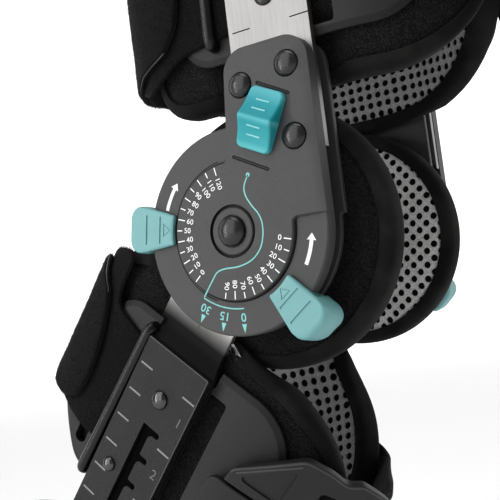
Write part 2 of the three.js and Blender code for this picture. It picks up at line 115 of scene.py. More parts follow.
def inwardNormals(loop):
    before, after = loop - np.roll(loop, 1, axis=0), np.roll(loop, -1, axis=0) - loop
    before /= np.linalg.norm(before, axis=1)[:, None] + 1e-12
    after /= np.linalg.norm(after, axis=1)[:, None] + 1e-12
    n1, n2 = np.c_[-before[:, 1], before[:, 0]], np.c_[-after[:, 1], after[:, 0]]
    return (n1 + n2) / np.maximum(1 + np.sum(n1 * n2, axis=1), 0.35)[:, None]


def inset(loop, distance):
    return loop + inwardNormals(loop) * np.reshape(distance, (-1, 1))


# Mesh parts: corners in mm, faces and finish number

def stackParts(rows, finish=0, caps=(True, True)):  # rows are an outline and its depth, back to front
    n = len(rows[0][0])
    verts = np.vstack([np.c_[loop, np.full(n, depth)] for loop, depth in rows])
    faces = []
    for r in range(len(rows) - 1):
        for i in range(n):
            k = (i + 1) % n
            faces.append((r * n + i, r * n + k, (r + 1) * n + k, (r + 1) * n + i))
    for row, wanted in ((0, caps[0]), (len(rows) - 1, caps[1])):
        if wanted:
            flat = [Vector((x, y, 0)) for x, y in rows[row][0]]
            faces += [tuple(row * n + i for i in tri) for tri in tessellate_polygon([flat])]
    return verts, faces, finish


def slabRows(loop, back, front, edge, steps=3):
    rows = []
    for a in np.linspace(0, math.pi / 2, steps + 1):
        rows.append((inset(loop, edge * (1 - math.sin(a))), back + edge * (1 - math.cos(a))))
    for a in np.linspace(math.pi / 2, 0, steps + 1):
        rows.append((inset(loop, edge * (1 - math.sin(a))), front - edge * (1 - math.cos(a))))
    return rows


def slabParts(loop, back, front, edge=0.5, finish=0, steps=3):
    return stackParts(slabRows(loop, back, front, edge, steps), finish)


def bandedParts(rows, finishes):  # back, edge and face each with a finish
    bands = ((rows[:4], (True, False)), (rows[3:5], (False, False)), (rows[4:], (False, True)))
    return [stackParts(band, finish, caps) for finish, (band, caps) in zip(finishes, bands)]


def blockParts(loop, back, front, finish=0):  # straight sides, mostly to cut with
    return slabParts(loop, back, front, 0.01, finish, 1)


def gridParts(grid, finish=0):  # rows of closed rings
    m, n = grid.shape[:2]
    faces = []
    for i in range(m - 1):
        for k in range(n):
            q = (k + 1) % n
            faces.append((i * n + k, i * n + q, (i + 1) * n + q, (i + 1) * n + k))
    return grid.reshape(-1, 3), faces, finish


def closedEnds(grid, scale=(1, 1, 1)):  # draws both end rings to a point
    ends = [grid[[k]].mean(axis=1, keepdims=True).repeat(grid.shape[1], axis=1) * scale for k in (0, -1)]
    return np.concatenate([ends[0], grid, ends[1]])


def turnedParts(profile, around=48, centre=(0, 0), finish=0):  # profile is radius and depth
    a = np.linspace(0, 2 * np.pi, around, endpoint=False)
    p = np.asarray(profile, float)
    grid = np.stack([
        centre[0] + p[:, :1] * np.cos(a),
        centre[1] + p[:, :1] * np.sin(a),
        np.repeat(p[:, 1:], around, axis=1),
    ], axis=-1)
    return gridParts(grid, finish)


def domeProfile(radius, rise, seat, rings=8):
    lip, under = 0.15, 1.2
    rows = [(0, seat - under), (radius * 0.96, seat - under), (radius, seat + lip)]
    for a in np.linspace(0, math.pi / 2, rings + 1)[1:]:
        across = radius * math.cos(a) if a < 1.57 else 0
        rows.append((across, seat + lip + (rise - lip) * math.sin(a) ** 0.92))
    return rows


def tubeParts(path, radius, around=14, finish=0):
    path = np.asarray(path, float)
    tangent = np.gradient(path, axis=0)
    tangent /= np.linalg.norm(tangent, axis=1)[:, None]
    side = np.cross(tangent[0], [0.31, 0.53, 0.79])
    rings = [np.repeat(path[:1], around, axis=0)]
    a = np.linspace(0, 2 * np.pi, around, endpoint=False)
    for p, t in zip(path, tangent):
        side = side - t * (side @ t)
        side /= np.linalg.norm(side)
        up = np.cross(t, side)
        rings.append(p + radius * (np.cos(a)[:, None] * side + np.sin(a)[:, None] * up))
    rings.append(np.repeat(path[-1:], around, axis=0))
    return gridParts(np.array(rings), finish)


def smoothPath(points, count):  # Catmull-Rom through the points
    p = np.asarray(points, float)
    p = np.vstack([2 * p[0] - p[1], p, 2 * p[-1] - p[-2]])
    spans = len(p) - 3
    out = []
    for t in np.linspace(0, spans, count):
        i = min(int(t), spans - 1)
        f = t - i
        a, b, c, d = p[i:i + 4]
        out.append(0.5 * (2 * b + (c - a) * f + (2 * a - 5 * b + 4 * c - d) * f ** 2
                          + (3 * b - a - 3 * c + d) * f ** 3))
    return np.array(out)


def stripParts(path, width, low, high, finish=0):  # a thin printed or raised line along a flat path
    p = np.asarray(path, float)
    t = np.gradient(p, axis=0)
    t /= np.linalg.norm(t, axis=1)[:, None]
    n = np.c_[-t[:, 1], t[:, 0]] * width / 2
    row = lambda q, w: np.c_[q, np.full(len(q), w)]
    grid = np.stack([row(p - n, low), row(p - n, high), row(p + n, high), row(p + n, low)], axis=1)
    return gridParts(closedEnds(grid), finish)


def lineParts(a, b, width, low, high, finish=0):
    a, b = np.array(a, float), np.array(b, float)
    return stripParts([a, (a + b) / 2, b], width, low, high, finish)


def linked(name, data):
    item = bpy.data.objects.new(name, data)
    bpy.context.scene.collection.objects.link(item)
    return item


def wordParts(text, size, centre, turnDeg, high, finish=0, flip=False, bold=0.004, wide=1.1, align="CENTER"):
    curve = bpy.data.curves.new("mark", "FONT")
    curve.body = text
    curve.size = 1.0
    curve.align_x, curve.align_y = align, "CENTER"
    curve.offset = bold
    curve.resolution_u = 3
    holder = linked("mark", curve)
    drawn = bpy.data.meshes.new_from_object(holder.evaluated_get(bpy.context.evaluated_depsgraph_get()))
    bpy.data.objects.remove(holder)
    p = np.array([v.co[:2] for v in drawn.vertices])
    p = p * size * np.array([wide, -1 if flip else 1])
    c, s = wayAt(turnDeg)
    p = p @ np.array([[c, s], [-s, c]]) + np.array(centre)
    faces = [tuple(f.vertices) for f in drawn.polygons]
    bpy.data.meshes.remove(drawn)
    return np.c_[p, np.full(len(p), high)], faces, finish


def moved(part, forward=0, out=0, turnDeg=0):
    (x, y, z), (c, s) = np.array(part[0], float).T, wayAt(turnDeg)
    return np.c_[x * c - y * s + forward, x * s + y * c, z + out], *part[1:]


# From the drawings to the brace, in metres

def bent(p):
    a = math.radians(brace["flexion"])
    x, z = p[:, 0] * math.cos(a) + p[:, 2] * math.sin(a), -p[:, 0] * math.sin(a) + p[:, 2] * math.cos(a)
    return np.c_[x, p[:, 1], z]


def onHinge(side, limb="thigh"):
    def place(p):
        y = -(brace["ringFace"] + p[:, 2]) * (1 if side == "lateral" else -1)
        q = np.c_[p[:, 0], y, p[:, 1]]
        return (q if limb == "thigh" else bent(q)) / 1000
    return place


def legLoop(back, sideBack, sideFront, front, strut):
    half = brace["plateFace"]
    a = np.linspace(math.pi, 1.5 * math.pi, 300)
    b = np.linspace(1.5 * math.pi, 2 * math.pi, 300)
    rear = np.c_[sideBack + (sideBack - back) * np.cos(a), half * np.sin(a)]
    flat = np.c_[np.linspace(sideBack, sideFront, 200), np.full(200, -half)][1:-1]
    fore = np.c_[sideFront + (front - sideFront) * np.cos(b), half * np.sin(b)]
    p = np.vstack([rear, flat, fore])
    run = np.r_[0, np.cumsum(np.linalg.norm(np.diff(p, axis=0), axis=1))]
    t = np.gradient(p, run, axis=0)
    t /= np.linalg.norm(t, axis=1)[:, None]
    normal = np.c_[t[:, 1], -t[:, 0]]
    normal[0], normal[-1] = (-1, 0), (1, 0)
    return {"run": run, "p": p, "normal": normal, "length": run[-1]}


legs = {limb: legLoop(**plan) for limb, plan in limbPlan.items()}


def runAt(limb, x):
    return float(np.interp(x, legs[limb]["p"][:, 0], legs[limb]["run"]))


def roundLeg(limb):  # distance round the leg from its back, height, offset from the plates' face
    leg = legs[limb]

    def place(p):
        d = p[:, 0]
        folded = np.where(d < 0, -d, np.where(d > leg["length"], 2 * leg["length"] - d, d))
        sign = np.where((d < 0) | (d > leg["length"]), -1, 1)
        x, y = (np.interp(folded, leg["run"], leg["p"][:, k]) for k in (0, 1))
        nx, ny = (np.interp(folded, leg["run"], leg["normal"][:, k]) for k in (0, 1))
        q = np.c_[x + nx * p[:, 2], (y + ny * p[:, 2]) * sign, p[:, 1]]
        return (q if limb == "thigh" else bent(q)) / 1000
    return place


# Making the pieces

def makePiece(name, parts, finishes, place, sharp=34, weighted=True):
    verts, faces, slots, base = [], [], [], 0
    for v, f, m in parts:
        verts.append(np.asarray(v, float))
        faces += [tuple(int(i) + base for i in face) for face in f]
        slots += [m] * len(f)
        base += len(v)
    mesh = bpy.data.meshes.new(name)
    mesh.from_pydata(place(np.vstack(verts)).tolist(), [], faces)
    mesh.polygons.foreach_set("material_index", slots)
    bm = bmesh.new()
    bm.from_mesh(mesh)
    bmesh.ops.remove_doubles(bm, verts=bm.verts, dist=2e-6)
    bmesh.ops.dissolve_degenerate(bm, edges=bm.edges, dist=1e-7)
    bmesh.ops.recalc_face_normals(bm, faces=bm.faces)
    bm.to_mesh(mesh)
    bm.free()
    for finish in finishes:
        mesh.materials.append(finish)
    piece = linked(name, mesh)
    shadeSmooth(piece, sharp, weighted)
    return piece


def shadeSmooth(piece, sharp, weighted):
    piece.data.polygons.foreach_set("use_smooth", [True] * len(piece.data.polygons))
    piece.data.set_sharp_from_angle(angle=math.radians(sharp))
    if weighted and not piece.modifiers.get("weighted"):
        piece.modifiers.new("weighted", "WEIGHTED_NORMAL").keep_sharp = True


def freeze(piece):  # keeps what the modifiers made
    bpy.context.view_layer.update()
    done = bpy.data.meshes.new_from_object(piece.evaluated_get(bpy.context.evaluated_depsgraph_get()))
    piece.modifiers.clear()
    old, piece.data = piece.data, done
    bpy.data.meshes.remove(old)


def carve(piece, cutters, place, sharp=34):  # engraved marks, holes and slots
    tool = makePiece("tool", cutters, [], place, weighted=False)
    piece.modifiers.clear()
    cut = piece.modifiers.new("cut", "BOOLEAN")
    cut.operation, cut.solver, cut.object, cut.use_self = "DIFFERENCE", "EXACT", tool, True
    freeze(piece)
    bpy.data.objects.remove(tool)
    shadeSmooth(piece, sharp, True)


def flatPlace(p):
    return p / 1000


def sliceAlong(bm, axis, places, fuzz=1e-6):  # cuts straight across at each place, in metres
    way = Vector([1.0 if k == axis else 0.0 for k in range(3)])
    for at in places:
        geom = bm.verts[:] + bm.edges[:] + bm.faces[:]
        bmesh.ops.bisect_plane(bm, geom=geom, plane_co=way * at, plane_no=way, dist=fuzz)


def reshape(piece, bm, points, sharp=34, weighted=True):
    for v, p in zip(bm.verts, points):
        v.co = p
    bmesh.ops.recalc_face_normals(bm, faces=bm.faces)
    bm.to_mesh(piece.data)
    bm.free()
    shadeSmooth(piece, sharp, weighted)
    return piece


# drawn flat, cut into narrow strips and laid round the leg
def wrapPiece(name, parts, finishes, limb, step=4.0, sharp=34, weighted=True, cutters=None, lift=None,
              across=0):
    piece = makePiece(name, parts, finishes, flatPlace, sharp, weighted)
    if cutters:
        carve(piece, cutters, flatPlace, sharp)
    bm = bmesh.new()
    bm.from_mesh(piece.data)
    for axis, gap in ((0, step), (1, across)):
        if gap:
            spread = [v.co[axis] for v in bm.verts]
            sliceAlong(bm, axis, np.arange(min(spread) + gap / 2000, max(spread), gap / 1000))
    flat = np.array([v.co for v in bm.verts]) * 1000
    if lift:
        flat[:, 2] += lift(flat[:, 0], flat[:, 1])
    return reshape(piece, bm, roundLeg(limb)(flat), sharp, weighted)


def settle(piece, body, slotName, *nodes):
    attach(piece, body)
    if nodes:
        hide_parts(*nodes)


# Finishes

def newFinish(name):
    finish = bpy.data.materials.new(name)
    finish.use_nodes = True
    return finish, finish.node_tree, finish.node_tree.nodes["Principled BSDF"]


def fill(node, values):
    for key, value in values.items():
        node.inputs[key].default_value = value


def add(tree, kind, **values):
    node = tree.nodes.new(kind)
    for key, value in values.items():
        if key in node.inputs:
            node.inputs[key].default_value = value
        else:
            setattr(node, key, value)
    return node


def spots(tree, scale, detail=3.0, rough=0.55, stretch=(1, 1, 1)):
    place = add(tree, "ShaderNodeTexCoord")
    frameMap = add(tree, "ShaderNodeMapping", Scale=stretch)
    tree.links.new(place.outputs["Object"], frameMap.inputs["Vector"])
    grain = add(tree, "ShaderNodeTexNoise", Scale=scale, Detail=detail, Roughness=rough)
    tree.links.new(frameMap.outputs["Vector"], grain.inputs["Vector"])
    return grain.outputs["Fac"]


def ramp(tree, source, stops, socket):  # stops are a place and a colour or grey
    node = add(tree, "ShaderNodeValToRGB")
    elements = node.color_ramp.elements
    while len(elements) < len(stops):
        elements.new(0.5)
    for element, (at, colour) in zip(elements, stops):
        element.position = at
        element.color = (*np.broadcast_to(colour, 3), 1)
    tree.links.new(source, node.inputs["Fac"])
    tree.links.new(node.outputs["Color"], socket)


def shade(colour, factor):
    return tuple(min(1, c * factor) for c in colour)


def bumped(tree, shader, height, strength, distance, before=None):
    node = add(tree, "ShaderNodeBump", Strength=strength, Distance=distance)
    tree.links.new(height, node.inputs["Height"])
    if before is not None:
        tree.links.new(before, node.inputs["Normal"])
    tree.links.new(node.outputs["Normal"], shader.inputs["Normal"])
    return node.outputs["Normal"]


def alongPiece(tree, way):  # distance along a piece, for shades that change on the way
    node = add(tree, "ShaderNodeVectorMath", operation="DOT_PRODUCT")
    node.inputs[1].default_value = way
    tree.links.new(add(tree, "ShaderNodeTexCoord").outputs["Object"], node.inputs[0])
    return node.outputs["Value"]


def mapped(tree, source, fromMin, fromMax, toMin=0, toMax=1):
    node = add(tree, "ShaderNodeMapRange")
    fill(node, {"From Min": fromMin, "From Max": fromMax, "To Min": toMin, "To Max": toMax})
    tree.links.new(source, node.inputs["Value"])
    return node.outputs["Result"]


def moulded(name, colour, rough, grainScale, grainDepth, spread=0.12, metal=0.0, specular=0.5):
    finish, tree, shader = newFinish(name)
    broad = spots(tree, 60, 2)
    fine = spots(tree, grainScale, 4, 0.6)
    tints = [(0.3, shade(colour, 1 - spread)), (0.7, shade(colour, 1 + spread))]
    ramp(tree, broad, tints, shader.inputs["Base Color"])
    ramp(tree, fine, [(0.3, rough - 0.07), (0.7, rough + 0.08)], shader.inputs["Roughness"])
    fill(shader, {"Metallic": metal, "Specular IOR Level": specular})
    bumped(tree, shader, fine, 0.35, grainDepth)
    return finish


def brushed(name, colour, rough, along):
    finish, tree, shader = newFinish(name)
    streaks = spots(tree, 900, 5, 0.7, stretch=along)
    broad = spots(tree, 25, 2)
    tints = [(0.25, shade(colour, 0.84)), (0.6, colour), (0.8, shade(colour, 1.1))]
    ramp(tree, streaks, tints, shader.inputs["Base Color"])
    ramp(tree, broad, [(0.3, rough - 0.05), (0.7, rough + 0.06)], shader.inputs["Roughness"])
    fill(shader, {"Metallic": 1.0})
    bumped(tree, shader, streaks, 0.18, 0.00006)
    return finish, tree, shader


def cloth(name, colour, kind, sheen=0.25, tint=(0.5, 0.5, 0.5), spread=0.25, depth=0.0002):
    finish, tree, shader = newFinish(name)
    broad = spots(tree, 45, 3)
    fuzz = spots(tree, 1500, 3, 0.6)
    place = add(tree, "ShaderNodeTexCoord").outputs["Object"]
    if kind == "knit":  # fine crossed rows
        rows = add(tree, "ShaderNodeTexWave", Scale=420, Distortion=1.6, Detail=2.0,
                   bands_direction="DIAGONAL")
        fill(rows, {"Detail Scale": 3.0})
        cross = add(tree, "ShaderNodeTexVoronoi", Scale=900)
        mix = add(tree, "ShaderNodeMath", operation="MULTIPLY")
        tree.links.new(place, rows.inputs["Vector"])
        tree.links.new(place, cross.inputs["Vector"])
        tree.links.new(rows.outputs["Fac"], mix.inputs[0])
        tree.links.new(cross.outputs["Distance"], mix.inputs[1])
        height = mix.outputs["Value"]
    elif kind == "pile":  # brushed loops
        height = spots(tree, 1500, 6, 0.75)
    else:  # plain tape
        rows = add(tree, "ShaderNodeTexWave", Scale=300, Distortion=0.4, Detail=1.0, bands_direction="Z")
        tree.links.new(place, rows.inputs["Vector"])
        height = rows.outputs["Fac"]
    tints = [(0.44, shade(colour, 1 - spread)), (0.62, shade(colour, 1 + 5 * spread))]
    ramp(tree, broad if kind == "tape" else fuzz, tints, shader.inputs["Base Color"])
    fill(shader, {"Roughness": 0.95, "Specular IOR Level": 0.12, "Sheen Weight": sheen,
                  "Sheen Roughness": 0.45, "Sheen Tint": (*tint, 1)})
    first = bumped(tree, shader, height, 0.8, depth)
    bumped(tree, shader, broad, 0.25, 0.0009, first)
    return finish


housing = moulded("housingGrey", (0.0335, 0.0335, 0.0346), 0.56, 1500, 0.00014, 0.06, specular=0.42)
gunmetal = moulded("gunmetal", (0.012, 0.012, 0.0125), 0.24, 1100, 0.0001, 0.3, metal=0.3)
tabTeal = moulded("tabTeal", (0.128, 0.320, 0.322), 0.5, 700, 0.00006, 0.06)
lockTeal = moulded("lockTeal", (0.016, 0.265, 0.3), 0.42, 700, 0.00006, 0.05, specular=0.22)
# lighter teal painted on the finger lines as their highlight
lockLinePaintedHighlight = moulded("lockLinePaintedHighlight", (0.22, 0.56, 0.58), 0.45, 700, 0.00006, 0.05, specular=0.3)
sleeveBlack = moulded("sleeveBlack", (0.0072, 0.0072, 0.0075), 0.5, 1100, 0.0009, 0.3, specular=0.24)
plateGrey = moulded("plateGrey", (0.0095, 0.0096, 0.0101), 0.52, 1500, 0.0003, 0.15, specular=0.26)
plateDark = moulded("plateDark", (0.006, 0.006, 0.0062), 0.55, 1500, 0.0003, 0.15, specular=0.22)
barBlack = moulded("barBlack", (0.0028, 0.0028, 0.0029), 0.3, 900, 0.00004, 0.2, specular=0.3)
printWhite = moulded("printWhite", (0.82, 0.82, 0.81), 0.6, 1800, 0.00002, 0.05)
printTeal = moulded("printTeal", (0.17, 0.5, 0.47), 0.6, 1800, 0.00002, 0.05)
tickGrey = moulded("tickGrey", (0.17, 0.17, 0.17), 0.5, 1800, 0.00004, 0.1)
darkChrome = moulded("darkChrome", (0.07, 0.07, 0.07), 0.16, 600, 0.00005, 0.1, metal=1.0)
knitBlack = cloth("knitBlack", (0.0032, 0.0032, 0.0033), "knit", 0.05, depth=0.0004, spread=0.6)
pileBlack = cloth("pileBlack", (0.0014, 0.0013, 0.0014), "pile", 0.05, (0.42, 0.40, 0.40), 0.8, 0.0008)
bindingGrey = cloth("bindingGrey", (0.0056, 0.0055, 0.0053), "tape", 0.03, (0.5, 0.48, 0.46), 0.2, 0.00006)
webbingBlack = cloth("webbingBlack", (0.0026, 0.0026, 0.0027), "tape", 0.06, spread=0.3, depth=0.00025)
linerGrey = cloth("linerGrey", (0.22, 0.22, 0.22), "pile", 0.03, spread=0.08, depth=0.00015)
# a lit copy of the liner grey, painted lighter for the condyle pads
linerPaintedLight = cloth("linerPaintedLight", (0.42, 0.42, 0.415), "pile", 0.03, spread=0.08, depth=0.00015)
foamBlack = cloth("foamBlack", (0.0015, 0.0015, 0.0015), "pile", 0.0, spread=0.3, depth=0.0002)
edgeGrey = cloth("edgeGrey", (0.028, 0.027, 0.026), "tape", 0.1, spread=0.2, depth=0.0001)
# near black for painted shade in grooves, recesses and seams
paintedGrooveShade = moulded("paintedGrooveShade", (0.004, 0.004, 0.004), 0.6, 1500, 0.0001, 0.1, specular=0.2)
# lighter grey for painted edge highlights
edgePaintedHighlight = moulded("edgePaintedHighlight", (0.05, 0.05, 0.05), 0.5, 1800, 0.00004, 0.1, specular=0.3)
# near black sheet painted as shadow in the sleeve's slot
slotPaintedShadow = moulded("slotPaintedShadow", (0.0008, 0.0008, 0.0008), 0.8, 1500, 0.0001, 0.1, specular=0.03)
# lighter grey for painted highlights on the buckle's rims
rimPaintedHighlight = moulded("rimPaintedHighlight", (0.034, 0.034, 0.035), 0.5, 1500, 0.0001, 0.1, specular=0.3)
trimGrey = cloth("trimGrey", (0.06, 0.058, 0.056), "tape", 0.1, spread=0.2, depth=0.0001)
numberGrey = moulded("numberGrey", (0.085, 0.085, 0.085), 0.5, 1800, 0.00004, 0.1)
strutBright = brushed("strutBright", (0.265, 0.26, 0.255), 0.42, (1, 1, 0.04))[0]
print("finishes ready")


# Hinge

hinge = {
    "dial": 26.4, "front": 1.7, "coverBack": -5.0, "armLeft": 4.0, "armWaist": 1.2, "armRight": 40.2,
    "armTop": 68.3, "armCorner": 9.5, "step": 1.1, "facetWidth": 3.9, "facetDrop": 1.0, "edge": 0.45,
    "facetFrom": 26, "facetGrow": 11,
    "ring": 40.0, "ringRim": -6.0, "ringCore": 33.0, "ringBack": -11.0, "ringEdge": 0.9, "seam": 0.6,
    "bore": 4.3, "backFront": -14.1, "backBack": -16.6, "backRadius": 38.0,
    "rivets": {"upper_front": (31.7, 57.4), "upper_back": (11.2, 54.0), "lower_front": (31.4, 30.3)},
    "rivetRadius": 4.85, "rivetRise": 2.6, "rivetShank": 2.5, "pivotRadius": 5.9, "pivotRise": 3.5,
    "pivotGroove": (9.1, 10.2), "marks": (((18.7, 53.2), (31.2, 46.4)), ((4.6, 27.7), (18.8, 20.3))),
}
# printed on the dial and ring: angles and radii from the pivot, and a scale's zero, last number and text turn
dialMarks = {
    "scales": ((221, 120, 180, "LEFT"), (-15, 90, 0, "RIGHT")), "tick": (25.8, 24.6),
    "tickEnds": (22.6, 23.5),
    "tickWidth": 0.42, "numberSize": 2.95, "numberGap": 0.9, "sunk": 0.2, "raised": 0.035,
    "line": ((9.8, 19.9), (7.9, 16.7), (7.4, 14.4), (8.0, 11.6), (9.9, 8.2), (12.4, 4.6), (13.5, 0.8),
             (13.1, -4.0), (11.2, -8.4), (7.2, -11.9), (1.2, -13.6), (-5.2, -13.7), (-9.0, -14.6),
             (-11.8, -17.6), (-16.3, -23.2)),
    "lineWidth": 0.5, "lineDot": 0.85, "arc": (29.4, -127, -90), "limits": ((0, -91), (15, -106), (30, -122)),
    "limitSize": 4.6, "limitAt": 32.6, "pointer": (38.7, 35.3), "pointerHalf": 1.05,
    "arrows": ((157, 141), (-30, -14)), "arrowAt": 33.2, "arrowWidth": 1.5, "arrowHead": 1.9,
}


def keyhole(radius, leftRound, stepRound):
    h = hinge
    left, waist, right, top = h["armLeft"], h["armWaist"], h["armRight"], h["armTop"]
    corner, step = h["armCorner"], h["step"]
    cy = math.sqrt((radius + leftRound) ** 2 - (waist - leftRound) ** 2)
    cx = math.sqrt((radius + stepRound) ** 2 - (step - stepRound) ** 2)
    a = math.degrees(math.atan2(cy, waist - leftRound))
    b = math.degrees(math.atan2(step - stepRound, cx))
    up = np.linspace(step, top - corner, 30)
    return ccw(np.vstack([
        np.c_[np.linspace(cx, right, 10), np.full(10, step)],
        np.c_[np.full(30, right), up][1:],
        arcPoints(right - corner, top - corner, corner, 0, 90, 6)[1:],
        arcPoints(left + corner, top - corner, corner, 90, 180, 6),
        arcPoints(waist - leftRound, cy, leftRound, 0, a - 180, 12),
        arcPoints(0, 0, radius, a, 360 + b, 4)[1:],
        arcPoints(cx, step - stepRound, stepRound, 180 + b, 90, 12)[1:-1],
    ]))


def slotLoop(a, b, width):
    a, b = np.array(a, float), np.array(b, float)
    turn = math.degrees(math.atan2(*(b - a)[::-1]))
    return ccw(np.vstack([arcPoints(*b, width / 2, turn - 90, turn + 90, 30),
                          arcPoints(*a, width / 2, turn + 90, turn + 270, 30)]))


def circle(radius, centre=(0, 0), stepDeg=6):
    return arcPoints(*centre, radius, 0, 360 - stepDeg, stepDeg)


def coverParts():
    h = hinge
    loop = keyhole(h["dial"], 2.6, 1.8)
    x, y = loop.T
    face = h["armRight"] - h["edge"] - h["facetWidth"]  # where the flat front ends
    onStep = (np.abs(y - h["step"]) < 0.01) & (x > h["dial"])
    start = x[onStep].min()
    # the long side towards the front has a wide shallow facet that dies out over the top corner
    flank = np.clip((x - h["facetFrom"]) / h["facetGrow"], 0, 1) * (y > h["step"]) * ~onStep
    flank = eased(flank)
    inner = inset(loop, h["edge"] + h["facetWidth"] * flank)
    lowest = h["step"] + h["edge"] + 0.02 * (y - h["step"])
    inner[:, 1] = np.where(flank > 0, np.maximum(inner[:, 1], lowest), inner[:, 1])
    inner[onStep, 0] = start + (x[onStep] - start) * (face - start) / (h["armRight"] - start)
    inner[onStep, 1] = h["step"] + h["edge"]
    deep = h["facetDrop"] - h["edge"]
    drop = h["edge"] + deep * flank
    drop[onStep] = h["edge"] + deep * np.clip((x[onStep] - face) / h["facetWidth"], 0, 1)
    rows = [np.c_[loop, np.full(len(loop), h["coverBack"])], np.c_[loop, h["front"] - drop - 0.15],
            np.c_[inset(loop, 0.15), h["front"] - drop], np.c_[inner, np.full(len(loop), h["front"])]]
    faces = stackParts([(row[:, :2], 0) for row in rows])[1]
    return np.vstack(rows), faces, 0


def triangleParts(corners, high, finish=0):
    return np.c_[corners, [high] * 3], [(0, 1, 2)], finish


def hingeMarks(side):
    m = dialMarks
    flip = side == "medial"
    parts = []
    low, high = hinge["front"] - m["sunk"], hinge["front"] + m["raised"]
    for zero, last, turnDeg, align in m["scales"]:
        for deg in range(0, last + 1, 10):
            way = wayAt(zero - deg)
            inner = m["tickEnds"][deg // 10 % 2]
            parts.append(stripParts([r * way for r in (*m["tick"], inner)], m["tickWidth"], low, high))
            parts.append(wordParts(str(deg), m["numberSize"], (inner - m["numberGap"]) * way,
                                   zero - deg + turnDeg, high, flip=flip, align=align))
    parts.append(stripParts(smoothPath(m["line"], 90), m["lineWidth"], low, high, 1))
    parts.append(blockParts(circle(m["lineDot"], m["line"][0], 20), low, high, 1))
    low, high = -m["sunk"], m["raised"]
    parts.append(stripParts(arcPoints(0, 0, *m["arc"], 3), m["lineWidth"], low, high, 1))
    for deg, a in m["limits"]:
        way = wayAt(a)
        parts.append(wordParts(str(deg), m["limitSize"], m["limitAt"] * way, a - 90, high, 1, flip, 0.01,
                               1.05))
        across = np.array([-way[1], way[0]]) * m["pointerHalf"]
        tip, foot = (r * way for r in m["pointer"])
        parts.append(triangleParts([tip, foot + across, foot - across], high, 1))
    # plain white arrows for the way each stop is set
    for a0, a1 in m["arrows"]:
        r, wide = m["arrowAt"], m["arrowHead"]
        parts.append(stripParts(arcPoints(0, 0, r, a0, a1, 2), m["arrowWidth"], low, high))
        tip, foot = wayAt(a1 + (a1 - a0) * 0.28), wayAt(a1)
        parts.append(triangleParts([r * tip, (r + wide) * foot, (r - wide) * foot], high))
    return parts


for side in sides:
    h = hinge
    front, dial, ring, core = h["front"], h["dial"], h["ring"], h["ringCore"]
    place = onHinge(side)
    cover = makePiece(side + "HingeCover", [coverParts()], [housing, paintedGrooveShade], place)
    above = front + 2
    sunk = [(slotLoop(*mark, 1.3), 0.9) for mark in h["marks"]]
    sunk += [(circle(h["rivetRadius"] + 0.25, c), 0.7) for c in h["rivets"].values()]
    sunk.append((circle(h["pivotGroove"][1]), 1.1))
    # the cut floors and walls take the painted groove shade
    carve(cover, [blockParts(loop, front - deep, above, 1) for loop, deep in sunk], place)
    settle(cover, "thigh", "housing", side + "_hinge_cover")
    inlays = [slotLoop(*mark, 0.7) for mark in h["marks"]]
    inlays = [slabParts(loop, front - 1.2, front - 0.15, 0.05, steps=1) for loop in inlays]
    settle(makePiece(side + "CoverInlays", inlays, [plateGrey], place), "thigh", "housing")
    rim, hub = h["pivotGroove"][0], h["pivotRadius"]
    island = [(0, front - 1.6), (rim, front - 1.6), (rim, front - 0.4), (rim - 0.4, front + 0.05),
              (hub + 0.4, front + 0.05), (hub + 0.2, front - 0.6), (0, front - 0.6)]
    settle(makePiece(side + "PivotWasher", [turnedParts(island, 72)], [housing], place), "thigh", "housing")

    e, seam, bore = h["ringEdge"], dial + h["seam"], h["bore"]
    profile = [(bore, 0), (bore, h["ringBack"]), (core - 0.6, h["ringBack"]), (core, h["ringBack"] + 0.6),
               (core, h["ringRim"]), (ring - 0.6, h["ringRim"]), (ring, h["ringRim"] + 0.6)]
    profile += [(ring - e + e * math.cos(a), -e + e * math.sin(a)) for a in np.linspace(0, math.pi / 2, 5)]
    profile += [(seam + 0.15, 0), (seam, -0.15), (seam, -1.1), (dial - 0.1, -1.1), (dial - 0.1, 0), (bore, 0)]
    r0, r1 = dial - 0.1, seam + 0.05
    groove = [(r0, -1.0), (r0, -0.55), (r1, -0.55), (r1, -1.0), (r0, -1.0)]
    # painted shadow: a dark seam groove, and dark strips along the arm's left edge and round the dial's left
    # side
    waist = keyhole(dial + 0.3, 2.3, 1.8)
    beside = [q for q in waist if q[0] < h["armWaist"] + 0.6 and 22 < q[1] < ring - 0.5]
    shape = [turnedParts(profile, 128), turnedParts(groove, 128, finish=1),
             stripParts(beside, 1.0, -0.3, 0.03, 1),
             stripParts(arcPoints(0, 0, dial + 1.35, 98, 246, 3), 0.5, -0.3, 0.03, 1)]
    shape = makePiece(side + "StopRing", shape, [housing, paintedGrooveShade], place)
    settle(shape, "thigh", "housing", side + "_stop_ring")

    back = slabParts(keyhole(h["backRadius"], 1.5, 1.0), h["backBack"], h["backFront"], 0.5)
    settle(makePiece(side + "HingeBack", [back], [housing], place), "thigh", "housing", side + "_hinge_back")

    dome = domeProfile(h["rivetRadius"], h["rivetRise"], front - 0.5)
    heads = [turnedParts(dome, 40, c) for c in h["rivets"].values()]
    heads.append(turnedParts(domeProfile(hub, h["pivotRise"], front + 0.05), 48))
    thin, under, over = h["rivetShank"], h["backBack"], front - 1.0
    shank = [(0, under), (thin, under), (thin, over), (0, over)]
    heads += [turnedParts(shank, 20, c) for c in (*h["rivets"].values(), (0, 0))]
    settle(makePiece(side + "HingeRivets", heads, [gunmetal], place), "thigh", "rivet", side + "_pivot_rivet",
           *(f"{side}_{name}_rivet" for name in h["rivets"]))
    prints = makePiece(side + "DialMarks", hingeMarks(side), [printWhite, printTeal], place, weighted=False)
    settle(prints, "thigh", "housing")
print("hinges done")


# Lock and stops

